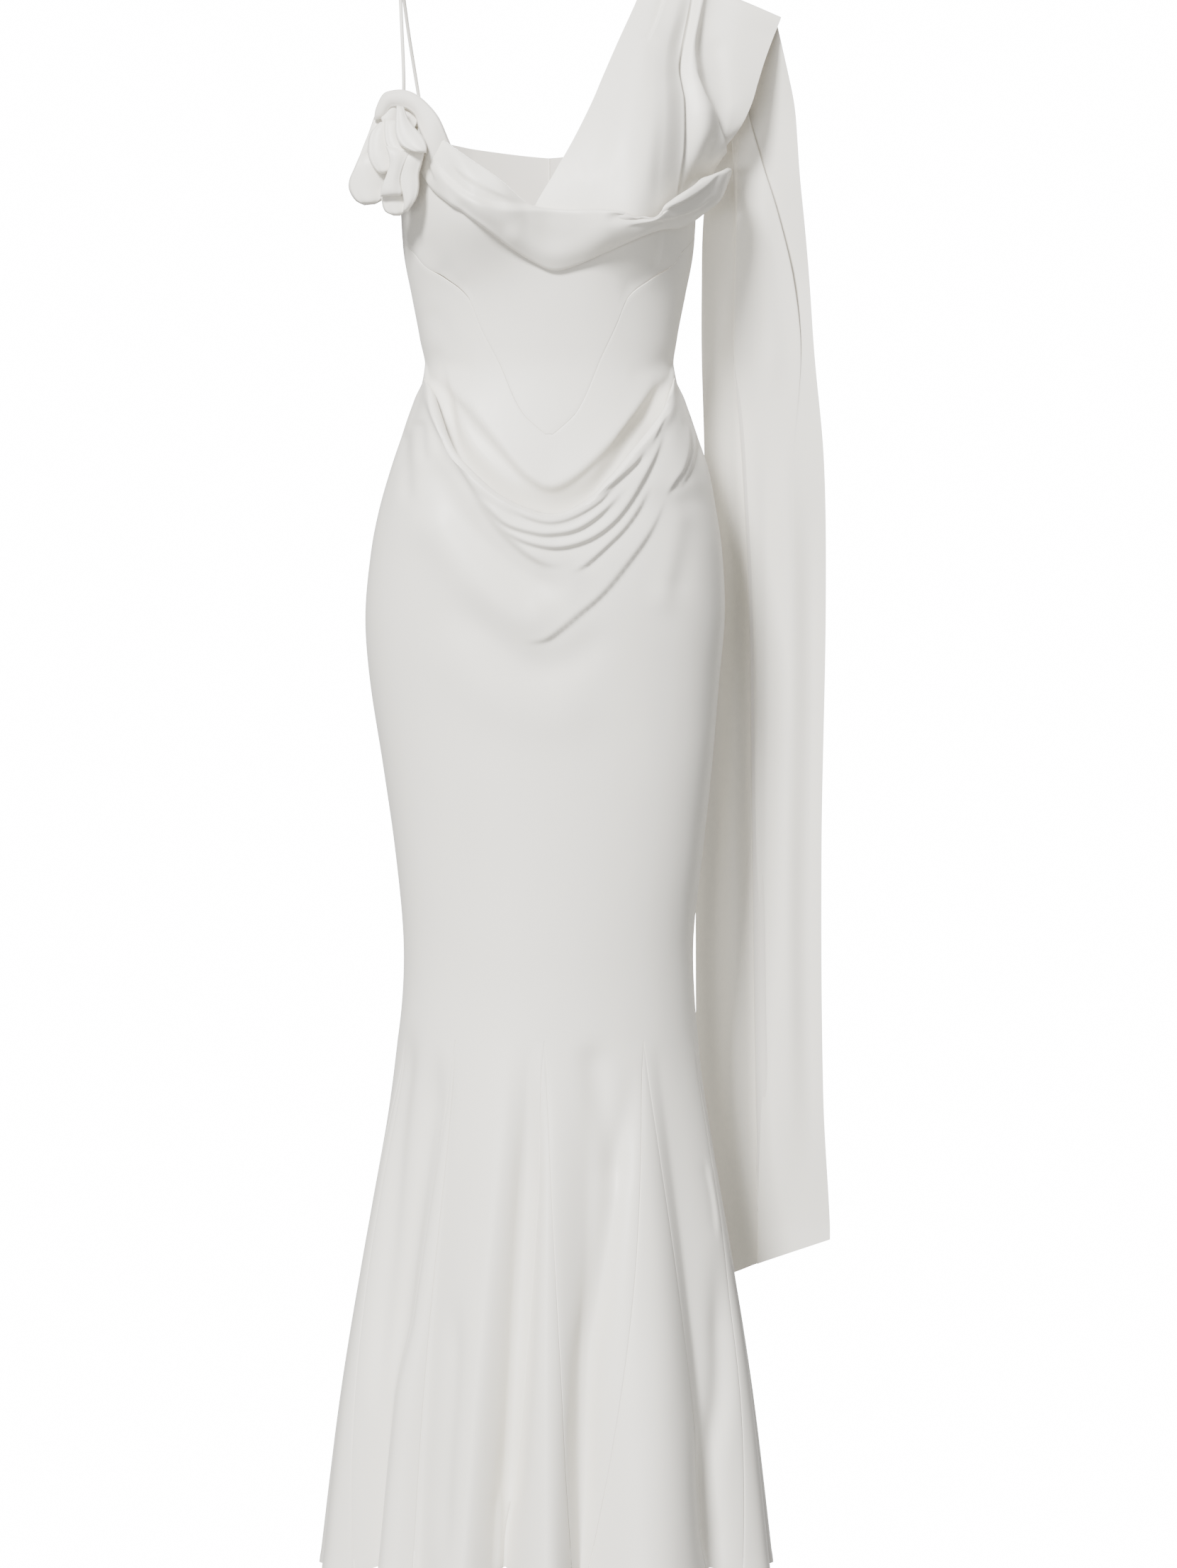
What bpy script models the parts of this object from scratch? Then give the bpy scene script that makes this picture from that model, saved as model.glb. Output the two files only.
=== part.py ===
"""An ivory satin evening gown, one-shouldered, with a cowl, a draped hip swag and a flared godet hem.

The cloth is a set of thin walls on the form of a wearer who isn't there. Lengths are in millimetres
until a mesh is made, and +Z is up. The front faces -Y. A place on the body is given by its turn in
degrees (0 at the centre front, 90 at the wearer's left side, 180 at the centre back) and its height z
below the shoulder tops. Names go by the wearer's side: _r is the photo's left, _l its right.
"""
from math import cos, exp, pi, radians, sin

import bmesh
import bpy
from mathutils import Vector

for leftover in list(bpy.data.objects):
    bpy.data.objects.remove(leftover)

# Driving dimensions
MM = 0.001
WALL = 1.5          # cloth wall of the fitted panels
THIN_WALL = 1.2     # cloth wall of what is draped or folded
SEAM = 0.4          # gap between two panels at a seam
WAIST = -396        # height of the waist seam at the sides and back
HIP_LEVEL = -800    # from here down the skirt's rows are level
KNEE = -1050        # height of the godets' peaks
HEM = -1572         # height of the hem on the ridges of the flare
LIFT = 3.5          # the skirt lies this far outside the bodice
SEAM_TURN = 0.05    # half the gap of a side or centre-back seam, in degrees of turn
STRAP_RADIUS = 1.8

# The form under the cloth: height, centre, half width, depth in front, depth behind, roundness
FORM = [
    (-90, -1, 149, 76, 90, 0.80),
    (-150, -2, 149, 88, 95, 0.82),
    (-200, -2, 148, 95, 97, 0.85),
    (-235, -2, 146, 97, 97, 0.87),
    (-277, -2, 143, 94, 94, 0.88),
    (-319, -2, 135, 90, 90, 0.90),
    (-361, -2, 127, 86, 87, 0.90),
    (-393, -1, 123, 85, 86, 0.90),
    (-445, -1, 139, 93, 101, 0.90),
    (-487, -1, 153, 100, 117, 0.90),
    (-529, -3, 163, 104, 129, 0.90),
    (-571, -4, 170, 106, 136, 0.90),
    (-634, -5.5, 174, 107, 138, 0.90),
    (-697, -6, 169, 106, 132, 0.90),
    (-781, -3, 159, 104, 121, 0.90),
    (-865, -1.5, 148.5, 103, 113, 0.92),
    (-949, -2, 140, 104, 109, 0.94),
    (-1010, -2, 141, 106, 111, 0.96),
    (-1075, -3, 148, 113, 118, 0.98),
    (-1159, -3, 161, 128, 133, 1.0),
    (-1285, -3.5, 181, 152, 157, 1.0),
    (-1411, -4, 197.5, 175, 180, 1.0),
    (-1580, -4.5, 213, 200, 206, 1.0),
]

# Bust: distance of each cup's point from the centre, its height, how far it stands out, its spread
CUP = {"aside": 78, "height": -238, "stand": 36, "spread_x": 48, "spread_z": 52}

# Top edge of the front bodice, hidden behind the cowl: turn, height
FRONT_TOP = [(-90, -205), (-80, -150), (-72, -124), (-62, -133), (-52, -148), (-38, -182), (-30, -202),
             (-19, -219), (-7, -242), (2, -249), (16, -251), (34, -255), (48, -239), (62, -222),
             (76, -210), (90, -205)]

# Top edge of the back: turn from the centre front, height, alike on both sides
BACK_TOP = [(90, -205), (112, -176), (135, -162), (155, -167), (180, -175)]

# Seam under the bust and down to the V point of the front: turn, height
BUST_SEAM = [(-90, -262), (-68, -277), (-58, -292), (-45, -305), (-33, -325), (-29, -350), (-20, -392),
             (-10, -436), (0, -459), (10, -436), (20, -392), (29, -350), (33, -325), (45, -306),
             (58, -292), (68, -275), (90, -256)]

# Lip of the hip swag, the top edge of the front skirt: turn, height
SWAG_LIP = [(-90, -396), (-78, -411), (-48, -453), (-32, -477), (-22, -497), (-13, -517), (-4, -531),
            (1, -535), (6, -531), (13, -517), (20, -497), (30, -470), (47, -436), (68, -405), (90, -396)]

# The swag's U folds: share of the way from the lip to the hip level, how far the cloth stands out
SWAG_FOLDS = [(0.0, 9), (0.03, 11), (0.08, 0), (0.14, 7), (0.21, -1), (0.29, 5), (0.38, -1), (0.5, 2),
              (0.64, 0), (0.82, 0), (1.0, 0)]

# Ridges and troughs of the flare: turn at the knee, turn at the hem, how far out at the hem
FLARE = [
    (-180, -180, 16), (-162, -162, -16), (-144, -144, 16), (-126, -126, -16), (-108, -108, 15),
    (-91, -90, -12), (-73, -67, 14), (-46, -55, -15), (-41, -44, 9), (-36, -36, -6), (-15, -21, 12),
    (-6, -12, -22), (-1, 1, 15), (17, 10, -18), (38, 29, 19), (46, 54, -13), (74, 68, 14),
    (90, 89, -12), (108, 108, 15), (126, 126, -16), (144, 144, 16), (162, 162, -16), (180, 180, 16),
]

# Godets: turn of the peak, turns of the two seams at the hem
GODETS = [(-73, -87, -60), (-37, -54, -37.5), (-1, -12.5, 7.5), (39, 12, 50), (75, 61, 87),
          (108, 97, 119), (144, 133, 155), (180, 169, 191), (216, 205, 227), (252, 241, 263)]
PEAK_HALF = 0.36    # half the slit's turn at a godet's peak
LANE_CELL = 9       # turn of one cell of the skirt between two godets
GODET_CELLS = 4     # cells across a godet
FLARE_ROWS = [0, 0.11, 0.25, 0.4, 0.55, 0.7, 0.85, 1.0]
KNEE_ROWS = [-868, -936, -1000]

# Cowl: turn and height of its top fold, turn and height of its lower edge, how far it stands off
COWL = [
    (-72, -122, -54, -195, 2), (-56, -127, -50, -209, 2), (-45, -148, -43, -224, 3),
    (-37, -172, -34, -237, 3), (-28, -193, -24, -253, 2), (-18, -208, -14, -271, 1),
    (-8, -228, -5, -287, 1), (1.5, -237, 1.5, -297, 1), (12, -239, 9, -292, 1), (24, -240, 20, -279, 1),
    (36, -243, 33, -266, 2), (48, -226, 46, -258, 4), (62, -208, 61, -254, 8), (76, -196, 76, -243, 15),
    (90, -190, 90, -222, 16),
]
# Across the cowl: share of the way up, drop from the fold in mm, stand-off from the form
COWL_ACROSS = [(0.0, 0, 3.4), (0.1, 0, 7.0), (0.35, 0, 10.5), (0.7, 0, 15.5),
               (1.0, 2.6, 16.8), (1.0, 0, 13.2), (1.0, 2.4, 9.6), (1.0, 6.5, 8.6)]

# Shoulder drape, as lines from the neckline up to the shoulder: turn and stand-off at the neckline,
# then places (x, z) a third and two thirds of the way up and at the top, and relief in mm
DRAPE_LINES = [
    ("free edge", -4, 4.0, [(30, -155), (63, -78), (96, -2)], 0),
    ("first ridge", 14, 4.6, [(62, -158), (84, -80), (109, -3)], 3),
    ("first pleat", 30, 5.4, [(94, -158), (98, -80), (120, -4)], -3),
    ("second ridge", 42, 5.4, [(112, -150), (113, -80), (132, -6)], 4),
    ("second pleat", 54, 5.0, [(131, -146), (127, -80), (144, -8)], -4),
    ("bulge", 64, 5.0, [(150, -146), (139, -80), (152, -11)], 11),
    ("bulge edge", 73, 8.0, [(165, -146), (150, -80), (162, -15)], -5),
    ("outer ridge", 82, 12.0, [(178, -145), (178, -90), (192, -27)], 4),
    ("outer edge", 90, 14.0, [(193, -142), (210, -90), (227.5, -42)], 0),
]
DRAPE_RISE = [0, 0.14, 0.28, 0.42, 0.56, 0.7, 0.85, 1.0]
DRAPE_FALL = [0.2, 0.45, 0.72, 1.0]
DRAPE_BACK = (150, 114)     # turns of its two edges where it meets the top of the back
DRAPE_BOW = Vector((3.6, 14.4, 12.6))
DRAPE_TUCK = 19             # how far its lower end runs on behind the cowl

# Sash: height, left edge, knife fold, step of the outer layer, outer edge, y at the left, y outside,
# tuck of the knife fold, how full the step is
SASH = [
    (-160, 166, 178, 197, 242, 40, 16, 5, 1),
    (-200, 156, 181, 214, 247, 47, 26, 11, 1),
    (-245, 151, 183, 228, 252, 53, 35, 15, 1),
    (-300, 150, 182, 241, 257, 60, 45, 16, 1),
    (-372, 150, 181, 248, 262, 67, 55, 16, 0),
    (-480, 153, 188, 240, 272, 78, 68, 16, 0),
    (-627, 152, 195, 240, 274, 88, 82, 16, 0),
    (-865, 145, 198, 238, 270, 96, 92, 16, 0),
    (-1110, 145, 202, 242, 272, 106, 102, 16, 0),
    (-1240, 145, 206, 245, 279, 116, 110, 16, 0),
]
SASH_BREAKS = [-200, -245, -300, -372, -480, -627, -790, -950, -1110, -1240]
SASH_BOTTOM = [(145, -1300), (181, -1289), (207, -1279), (281, -1254)]
SASH_HANG = (0.75, 0.02)    # it hangs from this stretch of the drape's outer edge, behind the shoulder
LAYER = 3.6                 # distance between two layers of a fold

# Strap, from the bodice's front corner over the shoulder to the back's top edge
STRAP = [(-144.5, -36, -95), (-147, -27, -40), (-149, -4, -3), (-147, 22, -10), (-141, 47, -55),
         (-132, 66, -112)]
STRAP_TURNS = (-72, -128)
STRAP_SIDES = 6

# Rosette petals: root (x, z), tip (x, z), half width, bulge, how far in front; the first five lie behind
PETALS = [
    ("hood", (-131, -135), (-171, -132), 10.5, 12, 4),
    ("upper_left", (-166, -145), (-182, -173), 8.5, 12, 0),
    ("low_left", (-180, -181), (-189, -229), 12.5, 13, 1.2),
    ("low_right", (-131, -188), (-136, -228), 7.0, 10, 0),
    ("bottom", (-172, -233), (-143, -237), 7.5, 12, 2),
    ("long_left", (-168, -150), (-174, -200), 8.0, 11, 12),
    ("upper_centre", (-153, -142), (-154, -187), 9.0, 12, 12),
    ("swirl", (-137, -143), (-134, -184), 9.0, 13, 13),
    ("bowl", (-152, -188), (-155, -231), 13.0, 15, 12),
]


def follow(table, at, column=1):
    """One column of a table between its rows, on a smooth curve."""
    if at <= table[0][0]:
        return table[0][column]
    if at >= table[-1][0]:
        return table[-1][column]
    index = next(k for k in range(len(table) - 1) if table[k + 1][0] >= at)
    low, high = table[index], table[index + 1]
    before = table[max(index - 1, 0)]
    after = table[min(index + 2, len(table) - 1)]
    span = high[0] - low[0]
    t = (at - low[0]) / span
    rise = high[column] - low[column]
    slope_low = (high[column] - before[column]) / (high[0] - before[0]) * span
    slope_high = (after[column] - low[column]) / (after[0] - low[0]) * span
    bend = (slope_low - rise) * (1 - t) - (slope_high - rise) * t
    return low[column] + rise * t + t * (1 - t) * bend


def ease(t):
    """0 below 0, 1 above 1, and smooth between."""
    t = min(max(t, 0.0), 1.0)
    return t * t * (3 - 2 * t)


def power_of(value, power):
    """A power that keeps the sign."""
    return abs(value) ** power * (1 if value >= 0 else -1)


FORM_UP = sorted(FORM)


def form(turn, z):
    """A point of the plain form, before bust, folds and flare."""
    centre, half, front, back, power = (follow(FORM_UP, z, column) for column in range(1, 6))
    across, along = sin(radians(turn)), cos(radians(turn))
    depth = front if along > 0 else back
    return Vector((centre + half * power_of(across, power), -depth * power_of(along, power), z))


def bust(x, z):
    """How far the cups stand out in front of the form."""
    total = 0
    for side in (-1, 1):
        across = (x - side * CUP["aside"]) / CUP["spread_x"]
        up = (z - CUP["height"]) / CUP["spread_z"]
        total += CUP["stand"] * exp(-across * across - up * up)
    return total


def skin(turn, z):
    """The bodice's outer face."""
    point = form(turn, z)
    in_front = ease(cos(radians(turn)) * 3)
    return point - Vector((0, bust(point.x, z) * in_front, 0))


def flare_wave(turn, z):
    """How far the flare's ridges and troughs stand out at a place."""
    down = min(max((KNEE - z) / (KNEE - HEM), 0.0), 1.0)
    if down == 0:
        return 0
    turn = (turn + 180) % 360 - 180
    places = [knee + (hem - knee) * down ** 0.8 for knee, hem, height in FLARE]
    index = next((k for k in range(len(places) - 1) if places[k + 1] >= turn), len(places) - 2)
    t = ease((turn - places[index]) / (places[index + 1] - places[index]))
    height = FLARE[index][2] * (1 - t) + FLARE[index + 1][2] * t
    return height * down ** 1.15


def lip(turn):
    return follow(SWAG_LIP, turn)


def swag_share(turn, z):
    """0 at the swag's lip, 1 at the hip level."""
    top = lip(turn)
    return min(max((top - z) / (top - HIP_LEVEL), 0.0), 1.0)


def skirt(turn, z):
    """The skirt's outer face, with its swag folds and its flare."""
    turn = (turn + 180) % 360 - 180
    point = form(turn, z)
    ahead, behind = form(turn + 0.5, z), form(turn - 0.5, z)
    outward = Vector((ahead.y - behind.y, behind.x - ahead.x, 0)).normalized()
    from_waist = ease((WAIST - z) / 25)
    in_front = ease((88 - abs(turn)) / 16)
    out = LIFT * max(from_waist, in_front)
    out += follow(SWAG_FOLDS, swag_share(turn, z)) * ease((76 - abs(turn)) / 30)
    return point + outward * (out + flare_wave(turn, z))


def facing(surface, turn, z):
    """The direction that a surface faces at a place."""
    along = surface(turn + 0.6, z) - surface(turn - 0.6, z)
    up = surface(turn, z + 3) - surface(turn, z - 3)
    return along.cross(up).normalized()


def stand_off(surface, turn, z, out):
    return surface(turn, z) + facing(surface, turn, z) * out


def flare_height(turn, share):
    """The height at a share of the way from the knee to the hem, which lifts in the troughs."""
    hem = HEM + 0.9 * max(0, -flare_wave(turn, HEM))
    return KNEE + (hem - KNEE) * share


def ivory(name, roughness=0.36):
    """Ivory satin, the same cloth for every piece."""
    material = bpy.data.materials.new(name)
    material.use_nodes = True
    shader = material.node_tree.nodes["Principled BSDF"]
    shader.inputs["Base Color"].default_value = (0.80, 0.77, 0.70, 1)
    shader.inputs["Roughness"].default_value = roughness
    shader.inputs["Metallic"].default_value = 0
    return material


def add_wall(name, outer, inner, keep=None):
    """One closed wall between two grids of points; keep says which cells are cloth."""
    rows, columns = len(outer), len(outer[0])
    shape = bmesh.new()
    face_out = [[shape.verts.new(point * MM) for point in row] for row in outer]
    face_in = [[shape.verts.new(point * MM) for point in row] for row in inner]

    def is_cloth(row, column):
        inside = 0 <= row < rows - 1 and 0 <= column < columns - 1
        return inside and (keep is None or keep(row, column))

    for row in range(rows - 1):
        for column in range(columns - 1):
            if not is_cloth(row, column):
                continue
            corners = [(row, column), (row, column + 1), (row + 1, column + 1), (row + 1, column)]
            beyond = [(row - 1, column), (row, column + 1), (row + 1, column), (row, column - 1)]
            shape.faces.new([face_out[r][c] for r, c in corners])
            shape.faces.new([face_in[r][c] for r, c in reversed(corners)])
            for index, cell in enumerate(beyond):
                if is_cloth(*cell):
                    continue
                (r1, c1), (r2, c2) = corners[index], corners[(index + 1) % 4]
                shape.faces.new([face_out[r2][c2], face_out[r1][c1], face_in[r1][c1], face_in[r2][c2]])
    loose = [vertex for vertex in shape.verts if not vertex.link_faces]
    bmesh.ops.delete(shape, geom=loose, context="VERTS")
    bmesh.ops.triangulate(shape, faces=shape.faces)
    bmesh.ops.recalc_face_normals(shape, faces=shape.faces)
    mesh = bpy.data.meshes.new(name)
    shape.to_mesh(mesh)
    shape.free()
    mesh.shade_smooth()
    mesh.set_sharp_from_angle(angle=radians(50))
    mesh.materials.append(ivory(name))
    piece = bpy.data.objects.new(name, mesh)
    bpy.context.scene.collection.objects.link(piece)
    return piece


def add_panel(name, surface, places, keep=None):
    """A panel on a surface, from a grid of places (turn, z)."""
    outer = [[surface(turn, z) for turn, z in row] for row in places]
    inner = [[stand_off(surface, turn, z, -WALL) for turn, z in row] for row in places]
    return add_wall(name, outer, inner, keep)


def behind_grid(points, wall):
    """The inner grid of a free sheet: each point moved in along the sheet's own facing."""
    rows, columns = len(points), len(points[0])
    inner = []
    for r in range(rows):
        line = []
        for c in range(columns):
            along = points[r][min(c + 1, columns - 1)] - points[r][max(c - 1, 0)]
            down = points[min(r + 1, rows - 1)][c] - points[max(r - 1, 0)][c]
            line.append(points[r][c] - down.cross(along).normalized() * wall)
        inner.append(line)
    return inner


def spread(start, end, count):
    """Even places from start to end, both ends included."""
    return [start + (end - start) * k / (count - 1) for k in range(count)]


# The fitted front: cups and V above the seam, basque below it, both on the same columns
FRONT_TURNS = [-90 + SEAM_TURN, -80, -72, -64, -56, -48, -40, -33, -26, -18, -9, 0, 9, 18, 26, 33, 40, 48, 56, 64,
               72, 81, 90 - SEAM_TURN]


def add_bodice_front():
    rows = []
    for share in spread(0, 1, 9):
        row = []
        for turn in FRONT_TURNS:
            top, seam = follow(FRONT_TOP, turn), follow(BUST_SEAM, turn) + SEAM
            row.append((turn, top + (seam - top) * share))
        rows.append(row)
    add_panel("bodice_front", skin, rows)


def add_basque_front():
    rows = []
    for share in spread(0, 1, 6):
        row = []
        for turn in FRONT_TURNS:
            seam = follow(BUST_SEAM, turn) - SEAM
            behind_lip = 16 * ease((68 - abs(turn)) / 12)
            bottom = lip(turn) + 2 * SEAM - behind_lip
            row.append((turn, seam + (bottom - seam) * share))
        rows.append(row)
    add_panel("basque_front", skin, rows)


def add_back(name, side):
    """One half of the back bodice, from the side seam to the centre-back seam."""
    turns = [90 + SEAM_TURN, 101, 112, 124, 135, 146, 157, 168, 180 - SEAM_TURN]
    rows = []
    for share in spread(0, 1, 7):
        row = []
        for turn in turns:
            top, bottom = follow(BACK_TOP, turn), WAIST + 2 * SEAM
            row.append((turn * side, top + (bottom - top) * share))
        rows.append(row if side > 0 else row[::-1])
    add_panel(name, skin, rows)


def godet_seam(godet, side, share):
    """The turn of a godet's seam at a share of the way from its peak to the hem."""
    peak, first, last = godet
    start = peak + side * PEAK_HALF
    return start + ((first if side < 0 else last) - start) * share


def panel_edge(turn, side, share):
    """The turn of a skirt panel's own edge: a plain seam, or below the knee the godet's that is in it."""
    for godet in GODETS:
        if godet[0] == turn and share is not None:
            return godet_seam(godet, side, share)
    return turn + side * SEAM_TURN


def skirt_turns(start, end, share=None):
    """The columns of a skirt panel at a share of the way down the flare, and the cells of its slits."""
    inside = [godet for godet in GODETS if start < godet[0] < end]
    edges = [panel_edge(start, 1, share)]
    peaks = [start]
    for godet in inside:
        edges += [godet_seam(godet, side, share or 0) for side in (-1, 1)]
        peaks.append(godet[0])
    edges.append(panel_edge(end, -1, share))
    peaks.append(end)
    turns, slits = [], []
    for lane in range(len(peaks) - 1):
        cells = max(2, round((peaks[lane + 1] - peaks[lane]) / LANE_CELL))
        turns += spread(edges[2 * lane], edges[2 * lane + 1], cells + 1)
        slits.append(len(turns) - 1)
    return turns, slits


def add_skirt(name, start, end, upper_rows):
    """A panel of the skirt, with tongues of it between the godets."""
    rows = [[(turn, height(turn)) for turn in skirt_turns(start, end)[0]] for height in upper_rows]
    peak_row = len(rows)
    for share in FLARE_ROWS:
        rows.append([(turn, flare_height(turn, share)) for turn in skirt_turns(start, end, share)[0]])
    slits = skirt_turns(start, end)[1]
    add_panel(name, skirt, rows, lambda row, column: row < peak_row or column not in slits)


def swag_row(share):
    return lambda turn: lip(turn) + (HIP_LEVEL - lip(turn)) * share


def back_row(share):
    return lambda turn: WAIST + (HIP_LEVEL - WAIST) * share


def level_row(z):
    return lambda turn: z


def add_skirt_front():
    upper = [swag_row(share) for share, out in SWAG_FOLDS] + [level_row(z) for z in KNEE_ROWS]
    add_skirt("skirt_front", -90, 90, upper)


def add_skirt_back(name, start, end):
    upper = [back_row(share) for share in (0, 0.07, 0.18, 0.32, 0.48, 0.65, 0.82, 1.0)]
    upper += [level_row(z) for z in KNEE_ROWS]
    add_skirt(name, start, end, upper)


def add_godet(name, godet):
    """A flared wedge between two tongues of the skirt."""
    rows = []
    for share in FLARE_ROWS:
        start, end = godet_seam(godet, -1, share), godet_seam(godet, 1, share)
        radius = follow(FORM_UP, flare_height(start, share), 2)
        gap = SEAM / radius / pi * 180
        turns = spread(start + gap, end - gap, GODET_CELLS + 1)
        rows.append([(turn, flare_height(turn, share) - (SEAM if share == 0 else 0)) for turn in turns])
    add_panel(name, skirt, rows)


def add_cowl():
    """The draped neckline: a sheet with a rolled top fold that stands off the bust."""
    points = []
    for share, drop, out in reversed(COWL_ACROSS):
        line = []
        for top_turn, top_z, low_turn, low_z, off in COWL:
            turn = low_turn + (top_turn - low_turn) * share
            z = low_z + (top_z - low_z) * share - drop
            extra = off * ease(share * 4)
            line.append(stand_off(skin, turn, z, out + extra))
        points.append(line)
    add_wall("cowl", points, behind_grid(points, THIN_WALL))


def cowl_top(turn):
    return follow(COWL, turn)


def drape_rising(line, rise):
    """A place on a line of the shoulder drape, from the neckline (0) to the shoulder (1)."""
    label, turn, out, places, relief = line
    foot = stand_off(skin, turn, cowl_top(turn) - 2, out)
    table = [(0, foot.x, foot.z)] + [((k + 1) / 3, x, z) for k, (x, z) in enumerate(places)]
    proud = relief * sin(pi * min(rise * 0.94, 1)) ** 0.7
    x, z = follow(table, rise, 1), follow(table, rise, 2)
    forward = min(foot.y, -16) * (1 - rise ** 1.6)
    return Vector((x + 0.3 * proud, forward + (foot.y - min(foot.y, -16)) * (1 - ease(rise * 4)) - proud, z))


def drape_falling(line, turn, fall):
    """A place on a line of the shoulder drape, from the shoulder (0) down to the top of the back (1)."""
    x, z = line[3][-1]
    end = skin(turn, follow(BACK_TOP, turn) + 2 * SEAM)
    return Vector((x, 0, z)).lerp(end, fall) + DRAPE_BOW * sin(pi * fall)


def add_shoulder_drape():
    """The pleated piece that rises from the neckline, goes over the shoulder and down to the back."""
    turns = spread(*DRAPE_BACK, len(DRAPE_LINES))
    points = []
    for fall in reversed(DRAPE_FALL):
        points.append([drape_falling(line, turn, fall) for line, turn in zip(DRAPE_LINES, turns)])
    for rise in reversed(DRAPE_RISE):
        points.append([drape_rising(line, rise) for line in DRAPE_LINES])
    tuck = []
    for label, turn, out, places, relief in DRAPE_LINES:
        tuck.append(stand_off(skin, turn, cowl_top(turn) - DRAPE_TUCK, out))
    points.append(tuck)
    add_wall("shoulder_drape", points, behind_grid(points, THIN_WALL))


def sash_line(z):
    """The sash's section in plan at a height: left layer, knife fold, right layer, step outside."""
    left, knife, step, outer, y_left, y_outer, tuck, full = (
        follow(SASH_UP, z, column) for column in range(1, 9))
    path = [
        (left, 2), ((left + knife) / 2, 2), (knife - 1, 2), (knife + tuck - 2, 2),
        (knife + tuck, 1.5), (knife + tuck - 2, 1), (knife + 1.5, 1),
        (knife, 0.5), (knife + 2, 0), ((knife + step) / 2, 0), (step - 5, 0),
        (step - 1, 0.2 * full), (step + 1.5, 1.4 * full), (step + 5, 2 * full), (outer, 2 * full),
    ]
    points = []
    for x, layer in path:
        y = y_left + (y_outer - y_left) * (x - left) / (outer - left)
        points.append(Vector((x, y + layer * LAYER, z)))
    return points


SASH_UP = sorted(SASH)


def add_sash():
    """The long sash: it hangs from the drape's back edge, behind the hip, down to the calf."""
    first = sash_line(SASH[0][0])
    left, outer, y_left, y_outer = (SASH[0][column] for column in (1, 4, 5, 6))
    hem_line, edge = DRAPE_LINES[-1], DRAPE_BACK[1]
    top, under = [], []
    for point in first:
        share = (point.x - left) / (outer - left)
        layer = point.y - (y_left + (y_outer - y_left) * share)
        hang = drape_falling(hem_line, edge, SASH_HANG[0] + (SASH_HANG[1] - SASH_HANG[0]) * share)
        top.append(hang + Vector((0.3, layer, -0.5)))
        under.append(Vector((point.x, point.y, hang.z * 0.35 - 172 * 0.65)))
    points = [top, under] + [sash_line(z) for z in SASH_BREAKS]
    points.append([Vector((p.x, p.y, follow(SASH_BOTTOM, p.x))) for p in sash_line(SASH_BREAKS[-1])])
    add_wall("sash", points, behind_grid(points, THIN_WALL))


def add_strap():
    """A thin round strap over the shoulder, from the front corner to the top of the back."""
    seat = Vector((0, 0, 0.6))
    front, behind = STRAP_TURNS
    front_end = stand_off(skin, front, follow(FRONT_TOP, front), -WALL / 2) + seat
    back_end = stand_off(skin, behind, follow(BACK_TOP, -behind), -WALL / 2) + seat
    route = [front_end] + [Vector(place) for place in STRAP] + [back_end]
    table = [(k, *place) for k, place in enumerate(route)]
    centres = []
    for at in spread(0, len(route) - 1, 2 * len(route)):
        centres.append(Vector([follow(table, at, column) for column in (1, 2, 3)]))
    shape = bmesh.new()
    rings = []
    for k, centre in enumerate(centres):
        along = (centres[min(k + 1, len(centres) - 1)] - centres[max(k - 1, 0)]).normalized()
        aside = Vector((1, 0, 0)) - along * along.x
        aside.normalize()
        across = along.cross(aside)
        ring = []
        for side in range(STRAP_SIDES):
            turn = 2 * pi * side / STRAP_SIDES
            out = (aside * cos(turn) + across * sin(turn)) * STRAP_RADIUS
            ring.append(shape.verts.new((centre + out) * MM))
        rings.append(ring)
    for one, two in zip(rings, rings[1:]):
        for side in range(STRAP_SIDES):
            after = (side + 1) % STRAP_SIDES
            shape.faces.new([one[side], one[after], two[after], two[side]])
    shape.faces.new(rings[0])
    shape.faces.new(rings[-1])
    bmesh.ops.triangulate(shape, faces=shape.faces)
    bmesh.ops.recalc_face_normals(shape, faces=shape.faces)
    mesh = bpy.data.meshes.new("strap")
    shape.to_mesh(mesh)
    shape.free()
    mesh.shade_smooth()
    mesh.set_sharp_from_angle(angle=radians(65))
    mesh.materials.append(ivory("strap"))
    piece = bpy.data.objects.new("strap", mesh)
    bpy.context.scene.collection.objects.link(piece)


def rosette_base(x, z):
    """How far forward the back of the rosette lies: it follows the bust behind it."""
    return -76 - 10 * ease((-134 - z) / 60) + (-130 - x) * 0.3


def add_petal(name, root, tip, half_width, bulge, forward):
    """A fold of the rosette: a long cup of cloth, open behind."""
    start, end = Vector((root[0], 0, root[1])), Vector((tip[0], 0, tip[1]))
    along = (end - start).normalized()
    across = Vector((-along.z, 0, along.x))
    points = []
    for share in spread(0, 1, 7):
        centre = start.lerp(end, share)
        roundness = max(1 - (2 * share - 1) ** 4, 0.0) ** 0.5
        width = 2.6 + (half_width - 2.6) * roundness
        depth = 2.6 + (bulge - 2.6) * roundness
        base = rosette_base(centre.x, centre.z) - forward
        line = []
        for angle in (-100, -60, -20, 20, 60, 100):
            aside = across * (width * sin(radians(angle)))
            line.append(Vector((centre.x, base - depth * cos(radians(angle)), centre.z)) + aside)
        points.append(line)
    add_wall(name, points, behind_grid(points, THIN_WALL))


add_bodice_front()
add_basque_front()
add_back("back_l", 1)
add_back("back_r", -1)
add_skirt_front()
add_skirt_back("skirt_back_l", 90, 180)
add_skirt_back("skirt_back_r", 180, 270)
for number, godet in enumerate(GODETS):
    add_godet(f"godet_{number}", godet)
add_cowl()
add_shoulder_drape()
add_sash()
add_strap()
for label, root, tip, half_width, bulge, forward in PETALS:
    add_petal(f"rosette_{label}", root, tip, half_width, bulge, forward)
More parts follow.
